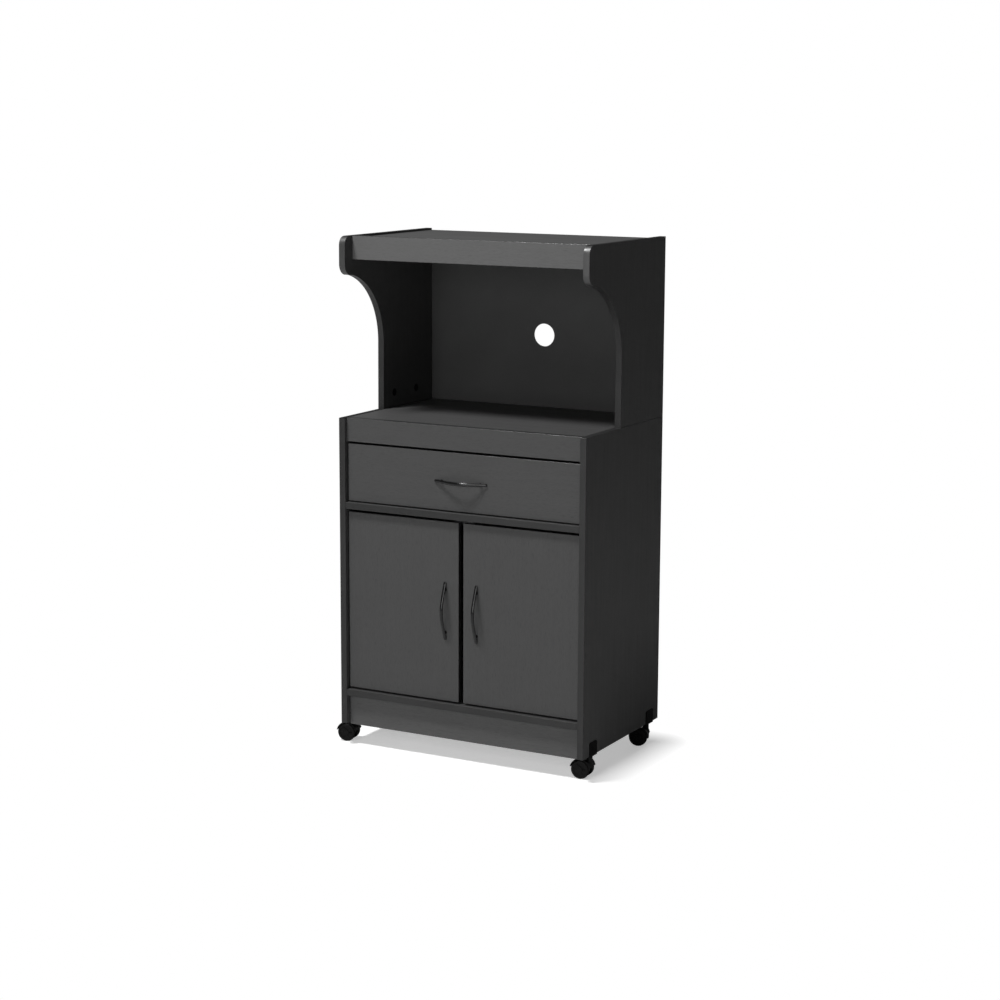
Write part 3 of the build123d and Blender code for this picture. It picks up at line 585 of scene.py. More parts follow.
def round_patch(mesh, centre, normal, radius, cuts):
    """Cuts a round patch out of a flat face: a square, whose inset is drawn to a circle."""
    margin = PATCH_MARGIN * radius
    for axis in AXES:
        if abs(axis.dot(normal)) < 0.5:
            for side in (-1, 1):
                face = face_at(mesh, centre, normal)
                bmesh.ops.bisect_plane(
                    mesh,
                    geom=[face, *face.edges, *face.verts],
                    plane_co=centre + side * margin * axis,
                    plane_no=axis,
                )
    square = face_at(mesh, centre, normal)
    bmesh.ops.bisect_edges(mesh, edges=list(square.edges), cuts=cuts)
    bmesh.ops.inset_individual(mesh, faces=[square], thickness=margin * PATCH_INSET)
    patch = face_at(mesh, centre, normal)
    for vert in patch.verts:
        vert.co = centre + (vert.co - centre).normalized() * radius
    return patch


def bore(mesh, centre, normal, radius, depth, cuts):
    """Sinks a round hole into the flat face that looks along normal."""
    patch = round_patch(mesh, centre, normal, radius, cuts)
    made = bmesh.ops.extrude_discrete_faces(mesh, faces=[patch])
    floor = made["faces"][0]
    bmesh.ops.translate(mesh, vec=-depth * normal, verts=floor.verts)


def bore_through(mesh, centre, normal, radius, thickness, cuts):
    """A round hole right through a board: a patch in each face, joined by a wall."""
    rims = []
    for side in (1, -1):
        place = centre if side > 0 else centre - thickness * normal
        patch = round_patch(mesh, place, side * normal, radius, cuts)
        rims += list(patch.edges)
        bmesh.ops.delete(mesh, geom=[patch], context="FACES_ONLY")
    bmesh.ops.bridge_loops(mesh, edges=rims)


def turned(profile, steps, closed=False):
    """A part turned on a lathe about Z, from (radius, height) points along its outline."""
    mesh = bmesh.new()
    verts = [mesh.verts.new((radius, 0, height)) for radius, height in profile]
    pairs = list(zip(verts, verts[1:])) + ([(verts[-1], verts[0])] if closed else [])
    edges = [mesh.edges.new(pair) for pair in pairs]
    bmesh.ops.spin(
        mesh,
        geom=verts + edges,
        cent=(0, 0, 0),
        axis=Z,
        angle=math.tau,
        steps=steps,
        use_merge=True,
    )
    bmesh.ops.remove_doubles(mesh, verts=mesh.verts, dist=SAME_PLACE)
    bmesh.ops.recalc_face_normals(mesh, faces=mesh.faces)
    return mesh


def aimed(point, direction):
    """A matrix that takes Z to a direction and the origin to a point."""
    turn = Vector(direction).to_track_quat("Z", "Y").to_matrix().to_4x4()
    return Matrix.Translation(point) @ turn


def stamp(target, pattern, places):
    """Adds a copy of the pattern at each place, a matrix, to the target mesh, and frees the pattern."""
    mesh = bpy.data.meshes.new("pattern")
    pattern.to_mesh(mesh)
    pattern.free()
    for place in places:
        count = len(target.verts)
        target.from_mesh(mesh)
        target.verts.ensure_lookup_table()
        bmesh.ops.transform(target, matrix=place, verts=target.verts[count:])
    bpy.data.meshes.remove(mesh)


class Outline:
    """An outline drawn by extruding one vertex: straight to a point, or spun round a centre."""

    def __init__(self, mesh, start):
        self.mesh = mesh
        self.first = self.last = mesh.verts.new(start)

    def straight(self, point):
        made = bmesh.ops.extrude_vert_indiv(self.mesh, verts=[self.last])
        self.last = made["verts"][0]
        self.last.co = point

    def turn(self, centre, axis, degrees, steps):
        made = bmesh.ops.spin(
            self.mesh,
            geom=[self.last],
            cent=centre,
            axis=axis,
            angle=math.radians(degrees),
            steps=steps,
        )
        self.last = next(item for item in made["geom_last"] if isinstance(item, bmesh.types.BMVert))

    def face(self):
        """Closes the outline and fills it."""
        self.mesh.edges.new((self.last, self.first))
        made = bmesh.ops.contextual_create(self.mesh, geom=list(self.mesh.edges))
        return made["faces"][0]


def pushed(mesh, face, way):
    """Gives a face a thickness along way."""
    made = bmesh.ops.extrude_face_region(mesh, geom=[face])
    bmesh.ops.translate(mesh, vec=way, verts=verts_of(made))
    bmesh.ops.recalc_face_normals(mesh, faces=mesh.faces)


# A board's finishes in their order: broad faces, narrow ones, rounded arrises, and where a board
# has them its top, in painted shade, and its nose, in a painted highlight
BROAD, NARROW, ARRIS, TOP, NOSE = range(5)


def board_faces(mesh, thickness_axis):
    """Sorts a board's faces by the finish that they take."""
    mesh.normal_update()
    for face in mesh.faces:
        steepest = max(range(3), key=lambda n: abs(face.normal[n]))
        if abs(face.normal[steepest]) < SAME_WAY:
            face.material_index = ARRIS
        else:
            face.material_index = BROAD if steepest == thickness_axis else NARROW


# Faces that meet at a sharper angle than this keep their edge
SHARP_ANGLE = math.radians(35)

# Faces across a rounded arris
ARRIS_STEPS, SHEET_ARRIS_STEPS = 3, 2


def finished(name, mesh, finishes, node, smooth_levels=0):
    """Ends a piece: it takes its finishes, and the body of the CAD node it stands for."""
    data = bpy.data.meshes.new(name)
    mesh.to_mesh(data)
    mesh.free()
    for finish in finishes:
        data.materials.append(FINISHES[finish])
    piece = bpy.data.objects.new(name, data)
    bpy.context.scene.collection.objects.link(piece)
    data.shade_smooth()
    if smooth_levels:
        surface = piece.modifiers.new("Subdivision", "SUBSURF")
        surface.levels = surface.render_levels = smooth_levels
    else:
        data.set_sharp_from_angle(angle=SHARP_ANGLE)
        weights = piece.modifiers.new("Weighted normals", "WEIGHTED_NORMAL")
        weights.keep_sharp = True
    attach(piece, NODES[node]["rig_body"])
    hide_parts(node)
    return piece


def board_finishes(node):
    """The finishes of a board's faces. Front boards' arrises take a painted highlight."""
    thickness_axis, grain_axis = BOARDS[node]
    broad = {"hutch_apron": "apron", "kick_rail": "kick"}.get(node, f"board_{'xyz'[grain_axis]}")
    return broad, "edge", "painted_highlight_arris" if thickness_axis == 1 else "arris", "painted_shade_top"


def whole_board(node, sizes):
    """A board in the space of its CAD node, with rounded arrises."""
    low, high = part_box(node)
    mesh = plain_box(low, high)
    round_edges(mesh, mesh.edges, sizes.arris, ARRIS_STEPS)
    mesh.normal_update()
    return mesh


def paint_top_shade(mesh, top):
    """Gives painted shade, a darker band, to the faces near the height top, apart from the broad ones.
    """
    for face in mesh.faces:
        if face.material_index != BROAD and face.calc_center_median().z > top - TOP_REACH:
            face.material_index = TOP


def finish_board(node, mesh):
    """Sorts the faces of a board and makes it a piece."""
    board_faces(mesh, BOARDS[node][0])
    # The left side panel's top takes painted shade
    if node == "left_side_panel":
        paint_top_shade(mesh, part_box(node)[1].z)
    finished(f"{node}_board", mesh, board_finishes(node), node)


# Places and sizes of the fittings
# How far down from a board's top the painted shade reaches
TOP_REACH = 1 * MM
CAM_REACH = 34 * MM
CAM_RADIUS = 7.5 * MM
CAM_DEPTH = 12 * MM
RAIL_CAM_HEIGHT = 16 * MM
KICK_CAM_HEIGHT = 20 * MM
JOINT_FRONT = 58 * MM
JOINT_REAR = 47 * MM
HUTCH_BOLT_FRONT = 47 * MM
HUTCH_BOLT_REAR = 74 * MM
PIN_PITCH = 32 * MM
PIN_ROWS = range(-2, 3)
PIN_DEPTH = 10 * MM
CUP_FLANGE = 19 * MM
CUP_RADIUS = 17.5 * MM
CUP_DEPTH = 12 * MM
CUP_HALF_LENGTH = 30 * MM
CABLE_RADIUS = 26 * MM
CABLE_HEIGHT = 165 * MM
CABLE_OFFSET = 5.5 * MM
GROOVE_DEPTH = 4 * MM
SWEEP_DEPTH = 219 * MM
NOSE_HEIGHT = 84 * MM
NOSE_TOP_RADIUS = 20 * MM
NOSE_BOTTOM_RADIUS = 25 * MM

# Edges along the curves of a hutch side, and how far its narrow faces' normals may lean to X
NOSE_TOP_STEPS, NOSE_BOTTOM_STEPS, SWEEP_STEPS = 14, 12, 40
NARROW_SLANT = 0.02

# Cuts in each side of the square whose outline becomes a round hole's rim
CAM_CUTS, PIN_CUTS, CUP_CUTS, CABLE_CUTS = 5, 3, 7, 13


def cam_places(node):
    """Points and directions at which a board's cam discs open, from its box."""
    low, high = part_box(node)
    panel_low, panel_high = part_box("left_side_panel")
    ends = (low.x + CAM_REACH, high.x - CAM_REACH)
    if node in ("top_fascia", "kick_rail", "hutch_apron"):
        rise = KICK_CAM_HEIGHT if node == "kick_rail" else RAIL_CAM_HEIGHT
        return [(Vector((x, high.y, low.z + rise)), Y) for x in ends]
    front = low.y + CAM_REACH if node == "hutch_top" else panel_low.y + JOINT_FRONT
    rear = panel_high.y - JOINT_REAR
    return [(Vector((x, y, low.z)), -Z) for x in ends for y in (front, rear)]


def hutch_cam_places(side):
    """The cam discs on a hutch side's inner face."""
    low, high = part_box("hutch_left_side")
    sweep_y = high.y - SWEEP_DEPTH
    inner = side * abs(high.x)
    depths = (sweep_y + HUTCH_BOLT_FRONT, high.y - HUTCH_BOLT_REAR)
    return [(Vector((inner, y, low.z + CAM_REACH)), -side * X) for y in depths]


CAM_BOARDS = (
    "worktop",
    "mid_shelf",
    "bottom_shelf",
    "hutch_top",
    "top_fascia",
    "kick_rail",
    "hutch_apron",
)


class CABINET_OT_finishes(bpy.types.Operator):
    """Makes the materials and gives them to the CAD pieces that stay"""

    bl_idname = "cabinet.finishes"
    bl_label = "Finishes"

    def execute(self, context):
        make_finishes(context.scene.cabinet_finishes)
        return {"FINISHED"}


class CABINET_OT_boards(bpy.types.Operator):
    """Builds the level and upright boards between the sides"""

    bl_idname = "cabinet.boards"
    bl_label = "Boards"

    def execute(self, context):
        sizes = context.scene.cabinet_sizes
        for node in CAM_BOARDS + ("inner_shelf",):
            mesh = whole_board(node, sizes)
            if node in CAM_BOARDS:
                for centre, way in cam_places(node):
                    bore(mesh, centre, way, CAM_RADIUS + sizes.cam_gap, CAM_DEPTH, CAM_CUTS)
            finish_board(node, mesh)
        return {"FINISHED"}


class CABINET_OT_side_panels(bpy.types.Operator):
    """Builds the side panels of the base, with the holes for the shelf pins"""

    bl_idname = "cabinet.side_panels"
    bl_label = "Side panels"

    def execute(self, context):
        sizes = context.scene.cabinet_sizes
        pins_low, pins_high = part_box("shelf_pins")
        radius = (pins_high.z - pins_low.z) / 2
        height = (pins_high.z + pins_low.z) / 2
        for node, side in (("left_side_panel", -1), ("right_side_panel", 1)):
            mesh = whole_board(node, sizes)
            low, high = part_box(node)
            inner = high.x if side < 0 else low.x
            for y in (pins_low.y + radius, pins_high.y - radius):
                for row in PIN_ROWS:
                    centre = Vector((inner, y, height + row * PIN_PITCH))
                    bore(mesh, centre, -side * X, radius, PIN_DEPTH, PIN_CUTS)
            finish_board(node, mesh)
        return {"FINISHED"}


class CABINET_OT_hutch_sides(bpy.types.Operator):
    """Builds the hutch's sides, each with a rounded nose above a concave sweep"""

    bl_idname = "cabinet.hutch_sides"
    bl_label = "Hutch sides"

    def execute(self, context):
        sizes = context.scene.cabinet_sizes
        for node, side in (("hutch_left_side", -1), ("hutch_right_side", 1)):
            low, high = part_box(node)
            sweep_y = high.y - SWEEP_DEPTH
            radius = sweep_y - low.y
            nose_z = high.z - NOSE_HEIGHT
            centre_z = nose_z - radius
            lower = NOSE_BOTTOM_RADIUS
            rise = math.sqrt((radius + lower) ** 2 - lower**2)
            tilt = math.degrees(math.asin(lower / (radius + lower)))
            top = NOSE_TOP_RADIUS
            mesh = bmesh.new()
            line = Outline(mesh, (low.x, high.y, low.z))
            line.straight((low.x, high.y, high.z))
            line.straight((low.x, low.y + top, high.z))
            line.turn((low.x, low.y + top, high.z - top), X, 90, NOSE_TOP_STEPS)
            line.straight((low.x, low.y, centre_z + rise))
            line.turn((low.x, low.y + lower, centre_z + rise), X, 90 + tilt, NOSE_BOTTOM_STEPS)
            line.turn((low.x, low.y, centre_z), X, tilt - 90, SWEEP_STEPS)
            line.straight((low.x, sweep_y, low.z))
            face = line.face()
            pushed(mesh, face, (high.x - low.x) * X)
            mesh.normal_update()
            rims = [
                edge
                for edge in mesh.edges
                if {abs(side_face.normal.x) > 0.9 for side_face in edge.link_faces} == {True, False}
            ]
            round_edges(mesh, rims, sizes.arris, ARRIS_STEPS)
            mesh.normal_update()
            for centre, way in hutch_cam_places(side):
                bore(mesh, centre, way, CAM_RADIUS + sizes.cam_gap, CAM_DEPTH, CAM_CUTS)
            mesh.normal_update()
            # Faces above the nose's foot take the lighter band, a painted highlight
            for face in mesh.faces:
                across = abs(face.normal.x)
                if across > SAME_WAY:
                    face.material_index = BROAD
                elif face.calc_center_median().z > nose_z:
                    face.material_index = NOSE
                else:
                    face.material_index = NARROW if across < NARROW_SLANT else ARRIS
            # The top's narrow faces take painted shade
            paint_top_shade(mesh, high.z)
            finished(f"{node}_board", mesh, ("board_z", "edge", "arris", "painted_shade_top", "nose"), node)
        return {"FINISHED"}


class CABINET_OT_backs(bpy.types.Operator):
    """Builds the thin back sheets, the upper one with its round cable hole"""

    bl_idname = "cabinet.backs"
    bl_label = "Back sheets"

    def execute(self, context):
        sizes = context.scene.cabinet_sizes
        for node in ("base_back", "hutch_back"):
            low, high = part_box(node)
            if node == "base_back":
                high.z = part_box("hutch_back")[0].z
            mesh = plain_box(low, high)
            round_edges(mesh, mesh.edges, sizes.sheet_arris, SHEET_ARRIS_STEPS)
            mesh.normal_update()
            if node == "hutch_back":
                centre = Vector((CABLE_OFFSET, high.y, low.z + CABLE_HEIGHT))
                bore_through(mesh, centre, Y, CABLE_RADIUS, high.y - low.y, CABLE_CUTS)
            mesh.normal_update()
            for face in mesh.faces:
                face.material_index = 1 if face.normal.y > 0.5 else 0
            finished(f"{node}_sheet", mesh, ("sheet", "sheet_rear"), node)
        return {"FINISHED"}


class CABINET_OT_doors(bpy.types.Operator):
    """Builds the doors, bored at the back for their hinge cups"""

    bl_idname = "cabinet.doors"
    bl_label = "Doors"

    def execute(self, context):
        sizes = context.scene.cabinet_sizes
        for side, name in ((-1, "left"), (1, "right")):
            node = f"{name}_door"
            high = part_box(node)[1]
            mesh = whole_board(node, sizes)
            cups_low, cups_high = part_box(f"{name}_hinge_cups")
            x = cups_low.x + CUP_FLANGE if side < 0 else cups_high.x - CUP_FLANGE
            for z in (cups_low.z + CUP_HALF_LENGTH, cups_high.z - CUP_HALF_LENGTH):
                bore(mesh, Vector((x, high.y, z)), Y, CUP_RADIUS, CUP_DEPTH, CUP_CUTS)
            finish_board(node, mesh)
        return {"FINISHED"}


class CABINET_OT_drawer(bpy.types.Operator):
    """Builds the drawer's front and box, whose sides are grooved for the floor"""

    bl_idname = "cabinet.drawer"
    bl_label = "Drawer"

    def execute(self, context):
        sizes = context.scene.cabinet_sizes
        floor_low, floor_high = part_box("drawer_floor")
        for node in ("drawer_front", "drawer_back"):
            finish_board(node, whole_board(node, sizes))
        floor = plain_box(floor_low, floor_high)
        round_edges(floor, floor.edges, sizes.sheet_arris, SHEET_ARRIS_STEPS)
        finish_board("drawer_floor", floor)
        for node, side in (("drawer_left_side", -1), ("drawer_right_side", 1)):
            low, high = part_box(node)
            mesh = plain_box(low, high)
            inner = high.x if side < 0 else low.x
            long_edges = [
                edge for edge in mesh.edges if abs((edge.verts[0].co - edge.verts[1].co).y) > 0.1
            ]
            round_edges(mesh, long_edges, sizes.arris, ARRIS_STEPS)
            for z in (floor_low.z, floor_high.z):
                cut_across(mesh, (0, 0, z), Z)
            mesh.normal_update()
            middle = Vector((inner, (low.y + high.y) / 2, (floor_low.z + floor_high.z) / 2))
            strip = face_at(mesh, middle, -side * X)
            made = bmesh.ops.extrude_face_region(mesh, geom=[strip])
            bmesh.ops.translate(mesh, vec=side * GROOVE_DEPTH * X, verts=verts_of(made))
            bmesh.ops.delete(mesh, geom=[strip], context="FACES_ONLY")
            finish_board(node, mesh)
        return {"FINISHED"}


HANDLE_WIDTH = 8 * MM
HANDLE_TIP_WIDTH = 6.4 * MM
HANDLE_THICKNESS = 5 * MM
HANDLE_TIP = 1.2 * MM
HANDLE_SIDES = 16
POST_HALF_SPACING = 48 * MM
POST_RADIUS = 3.2 * MM
POST_FLARE_RADIUS = 1.25 * POST_RADIUS
POST_SIDES = 16


def bow_rise(share):
    """How far a bow stands out, from 0 to 1, at a share of its half length from the middle."""
    swell = math.cos(math.pi / 2 * share)
    return (1 - share**2 + swell**2) / 2


def bow_handle(length, projection, sections):
    """A bow handle along X that stands out to -Y: a lofted arch on two flared posts."""
    mesh = bmesh.new()
    rings = []
    for n in range(sections):
        share = -1 + 2 * n / (sections - 1)
        swell = math.cos(math.pi / 2 * share)
        half_thickness = HANDLE_TIP + (HANDLE_THICKNESS / 2 - HANDLE_TIP) * swell
        half_width = (HANDLE_TIP_WIDTH + (HANDLE_WIDTH - HANDLE_TIP_WIDTH) * swell) / 2
        out = HANDLE_TIP + (projection - HANDLE_THICKNESS / 2 - HANDLE_TIP) * bow_rise(share)
        place = Matrix.Translation((share * length / 2, -out, 0))
        size = Matrix.Diagonal((1, half_thickness, half_width, 1))
        turn = Matrix.Rotation(math.pi / 2, 4, "Y")
        made = bmesh.ops.create_circle(
            mesh, segments=HANDLE_SIDES, radius=1, matrix=place @ size @ turn
        )
        rings.append(made["verts"])
    loops = [{edge for vert in ring for edge in vert.link_edges} for ring in rings]
    for first, second in zip(loops, loops[1:]):
        bmesh.ops.bridge_loops(mesh, edges=list(first | second))
    for loop in (loops[0], loops[-1]):
        bmesh.ops.edgeloop_fill(mesh, edges=list(loop))
    bmesh.ops.recalc_face_normals(mesh, faces=mesh.faces)
    reach = bow_rise(2 * POST_HALF_SPACING / length) * projection
    post = turned(
        (
            (0, 0),
            (POST_FLARE_RADIUS, 0),
            (POST_FLARE_RADIUS, 0.6 * MM),
            (POST_RADIUS, 1.6 * MM),
            (POST_RADIUS * 0.92, reach * 0.6),
            (POST_RADIUS * 1.02, reach),
            (0, reach),
        ),
        POST_SIDES,
    )
    stamp(mesh, post, [aimed((side * POST_HALF_SPACING, 0, 0), -Y) for side in (-1, 1)])
    return mesh


class CABINET_OT_handles(bpy.types.Operator):
    """Builds the three bow handles"""

    bl_idname = "cabinet.handles"
    bl_label = "Handles"

    def execute(self, context):
        sizes = context.scene.cabinet_sizes
        for node in ("drawer_handle", "left_door_handle", "right_door_handle"):
            low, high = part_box(node)
            middle, size = (low + high) / 2, high - low
            mesh = bow_handle(max(size.x, size.z), size.y, sizes.handle_sections)
            place = Matrix.Translation((middle.x, high.y, middle.z))
            if size.z > size.x:
                place = place @ Matrix.Rotation(math.pi / 2, 4, "Y")
            bmesh.ops.transform(mesh, matrix=place, verts=mesh.verts)
            finished(f"{node}_bow", mesh, ("handle_metal",), node, smooth_levels=1)
        return {"FINISHED"}


# A wheel's outline in millimetres: radius, and distance from the castor's middle
WHEEL_PROFILE = (
    (3.05, 3.3),
    (5, 3.3),
    (5, 7),
    (21, 7),
    (21, 19),
    (14.5, 19),
    (14.5, 18),
    (5.5, 18),
    (5.5, 19),
    (0, 19),
    (0, 17.2),
    (3.6, 17.2),
    (3.6, 15.7),
    (3.05, 15.7),
)
WHEEL_RADIUS = 21 * MM
TREAD_INNER, TREAD_OUTER = 7 * MM, 19 * MM
WHEEL_STEPS = 40
RIBS = 6
RIB_LOW = Vector((5.3, -0.7, 17.9)) * MM
RIB_HIGH = Vector((14.7, 0.7, 18.7)) * MM
HOOD_RADIUS = 24 * MM
HOOD_WALL = 1.8 * MM
HOOD_HALF_WIDTH = 18.5 * MM
HOOD_STEPS = 26

# The rounding of the hood's rims: how far in from the side, and how far down from the top
HOOD_ROUND = ((0, 1.2 * MM), (0.4 * MM, 0.5 * MM), (1.6 * MM, 0.1 * MM))
SKIRT = 5 * MM
WEB_HALF_WIDTH = 3 * MM
WEB_DROP = 6 * MM
BOSS_RADIUS = 6.5 * MM
BOSS_ROUND = 0.8 * MM
BOSS_BOTTOM = 6 * MM
SOCKET_RADIUS = 4.05 * MM
SOCKET_BOTTOM = 9 * MM
AXLE_RADIUS = 3 * MM
AXLE_HALF_LENGTH = 17 * MM


def castor_place(corner):
    """Where a castor's wheels turn: X along the axle, Z up, and the swivel along Y."""
    wheel = JOINTS[f"{corner}_castor_left_wheel_roll"]
    axle = Vector(wheel["axis"]).normalized()
    turn = Matrix((axle, Z.cross(axle), Z)).transposed().to_4x4()
    return Matrix.Translation(Vector(wheel["pos_m"])) @ turn


def wheel_mesh(side):
    """One wheel of a pair, turned on the axle, with ribs in its dish."""
    profile = [(radius * MM, height * MM) for radius, height in WHEEL_PROFILE]
    mesh = turned(profile, WHEEL_STEPS, closed=True)
    for height, radius, steps in ((TREAD_OUTER, 4 * MM, 5), (TREAD_INNER, 0.8 * MM, 2)):
        rim = edges_where(
            mesh,
            lambda place: abs(place.xy.length - WHEEL_RADIUS) < NEAR and abs(place.z - height) < NEAR,
        )
        round_edges(mesh, rim, radius, steps)
    rib = plain_box(RIB_LOW, RIB_HIGH)
    round_edges(rib, edges_where(rib, lambda place: place.z > RIB_HIGH.z - NEAR), 0.4 * MM, 2)
    stamp(mesh, rib, [Matrix.Rotation(math.tau * n / RIBS, 4, "Z") for n in range(RIBS)])
    bmesh.ops.transform(mesh, matrix=aimed((0, 0, 0), side * X), verts=mesh.verts)
    return mesh


def hood_mesh(boss_top, trail):
    """The hood over a pair of wheels: a spun shell, a web between them and the swivel's boss."""
    mesh = bmesh.new()
    start = math.asin(SKIRT / HOOD_RADIUS)
    line = Outline(mesh, (-HOOD_HALF_WIDTH, HOOD_RADIUS - HOOD_WALL, 0))
    rounded = [(HOOD_HALF_WIDTH - inward, HOOD_RADIUS - down) for inward, down in HOOD_ROUND]
    rounded.append((HOOD_HALF_WIDTH / 2, HOOD_RADIUS))
    for x, y in [(-x, y) for x, y in rounded] + rounded[::-1]:
        line.straight((x, y, 0))
    line.straight((HOOD_HALF_WIDTH, HOOD_RADIUS - HOOD_WALL, 0))
    face = line.face()
    turn = Matrix.Rotation(start, 3, "X")
    bmesh.ops.rotate(mesh, cent=(0, 0, 0), matrix=turn, verts=mesh.verts)
    bmesh.ops.spin(
        mesh,
        geom=[face, *face.edges, *face.verts],
        cent=(0, 0, 0),
        axis=X,
        angle=math.pi - 2 * start,
        steps=HOOD_STEPS,
    )
    bmesh.ops.recalc_face_normals(mesh, faces=mesh.faces)
    web = bmesh.new()
    turn = Matrix.Rotation(math.pi / 2, 4, "Y")
    radius = HOOD_RADIUS - HOOD_WALL / 2
    bmesh.ops.create_circle(web, cap_ends=True, segments=48, radius=radius, matrix=turn)
    bmesh.ops.translate(web, vec=-WEB_HALF_WIDTH * X, verts=web.verts)
    cut_across(web, (0, 0, -WEB_DROP), -Z, clear_outer=True)
    web.faces.ensure_lookup_table()
    pushed(web, web.faces[0], 2 * WEB_HALF_WIDTH * X)
    stamp(mesh, web, [Matrix()])
    boss = turned(
        (
            (0, BOSS_BOTTOM),
            (BOSS_RADIUS, BOSS_BOTTOM),
            (BOSS_RADIUS, boss_top - BOSS_ROUND),
            (BOSS_RADIUS - BOSS_ROUND, boss_top),
            (SOCKET_RADIUS, boss_top),
            (SOCKET_RADIUS, SOCKET_BOTTOM),
            (0, SOCKET_BOTTOM),
        ),
        24,
    )
    stamp(mesh, boss, [Matrix.Translation((0, trail, 0))])
    ends = ((0, -1), (1, -1), (1, 1), (0, 1))
    stub = turned([(AXLE_RADIUS * x, AXLE_HALF_LENGTH * z) for x, z in ends], 20)
    stamp(mesh, stub, [aimed((0, 0, 0), X)])
    return mesh


class CABINET_OT_castors(bpy.types.Operator):
    """Builds the four castors: a hood and two wheels each"""

    bl_idname = "cabinet.castors"
    bl_label = "Castors"

    def execute(self, context):
        for corner in CORNERS:
            place = castor_place(corner)
            swivel = Vector(JOINTS[f"{corner}_castor_swivel"]["pos_m"])
            axle = place.translation
            trail = (swivel - axle).xy.length
            hood_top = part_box(f"{corner}_castor_hood")[1].z
            pieces = [("hood", "shell", hood_mesh(hood_top - axle.z, trail), "castor_plastic")]
            for name, side in (("left_wheel", -1), ("right_wheel", 1)):
                pieces.append((name, "disc", wheel_mesh(side), "wheel_plastic"))
            for name, kind, mesh, finish in pieces:
                bmesh.ops.transform(mesh, matrix=place, verts=mesh.verts)
                node = f"{corner}_castor_{name}"
                finished(f"{node}_{kind}", mesh, (finish,), node)
        return {"FINISHED"}


SADDLE_GAUGE = 1.5 * MM
SADDLE_LENGTH = 36 * MM
SADDLE_CORNER = 5 * MM
SADDLE_CORNER_STEPS = 6


class CABINET_OT_saddles(bpy.types.Operator):
    """Builds the castors' saddles, folded over the bottom edges of the side panels"""

    bl_idname = "cabinet.saddles"
    bl_label = "Castor saddles"

    def execute(self, context):
        low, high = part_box("castor_saddles")
        mesh = bmesh.new()
        for corner in CORNERS:
            swivel = Vector(JOINTS[f"{corner}_castor_swivel"]["pos_m"])
            side = "left" if swivel.x < 0 else "right"
            panel_low, panel_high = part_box(f"{side}_side_panel")
            part = bmesh.new()
            start = swivel.y - SADDLE_LENGTH / 2
            outer_low, outer_high = panel_low.x - SADDLE_GAUGE, panel_high.x + SADDLE_GAUGE
            line = Outline(part, (outer_low, start, low.z))
            for x, z in (
                (outer_high, low.z),
                (outer_high, high.z),
                (panel_high.x, high.z),
                (panel_high.x, panel_low.z),
                (panel_low.x, panel_low.z),
                (panel_low.x, high.z),
                (outer_low, high.z),
            ):
                line.straight((x, start, z))
            face = line.face()
            pushed(part, face, SADDLE_LENGTH * Y)
            part.normal_update()
            corners = [
                edge
                for edge in edges_where(part, lambda place: abs(place.z - high.z) < SAME_PLACE)
                if abs(edge.verts[0].co.x - edge.verts[1].co.x) > NEAR
            ]
            round_edges(part, corners, SADDLE_CORNER, SADDLE_CORNER_STEPS)
            stamp(mesh, part, [Matrix()])
        finished("castor_saddles_plates", mesh, ("saddle_metal",), "castor_saddles")
        return {"FINISHED"}


SLOT_HALF_WIDTH = 0.9 * MM
SLOT_REACH = 4.2 * MM
SLOT_DEPTH = 2.2 * MM
SLOT_TAPER = 0.8
DISC_ROUND = 0.35 * CAM_RADIUS
DISC_STEPS = 28
CAP_RADIUS = 8.5 * MM
CAP_HEIGHT = 1.0 * MM
CAP_GAP = 0.02 * MM
CAP_STEPS = 32


def cam_disc():
    """A cam disc on the plane Z 0, with a rounded rim and a cross recess in its top."""
    mesh = bmesh.new()
    bmesh.ops.create_circle(mesh, cap_ends=True, segments=DISC_STEPS, radius=CAM_RADIUS)
    bmesh.ops.translate(mesh, vec=CAM_DEPTH * Z, verts=mesh.verts)
    for axis in (X, Y):
        for offset in (-SLOT_REACH, -SLOT_HALF_WIDTH, SLOT_HALF_WIDTH, SLOT_REACH):
            cut_across(mesh, offset * axis, axis)
    recess = []
    for face in mesh.faces:
        centre = face.calc_center_median()
        near, far = sorted((abs(centre.x), abs(centre.y)))
        if near < SLOT_HALF_WIDTH and far < SLOT_REACH:
            recess.append(face)
    floor = verts_of(bmesh.ops.extrude_face_region(mesh, geom=recess))
    bmesh.ops.delete(mesh, geom=recess, context="FACES_ONLY")
    bmesh.ops.translate(mesh, vec=-SLOT_DEPTH * Z, verts=floor)
    bmesh.ops.scale(mesh, vec=(SLOT_TAPER, SLOT_TAPER, 1), verts=floor)
    outer = edges_where(mesh, lambda place: place.xy.length > 0.95 * CAM_RADIUS)
    rim = [edge for edge in outer if edge.is_boundary]
    made = bmesh.ops.extrude_edge_only(mesh, edges=rim)
    bmesh.ops.translate(mesh, vec=-CAM_DEPTH * Z, verts=verts_of(made))
    bmesh.ops.recalc_face_normals(mesh, faces=mesh.faces)
    round_edges(mesh, rim, DISC_ROUND, 2)
    return mesh


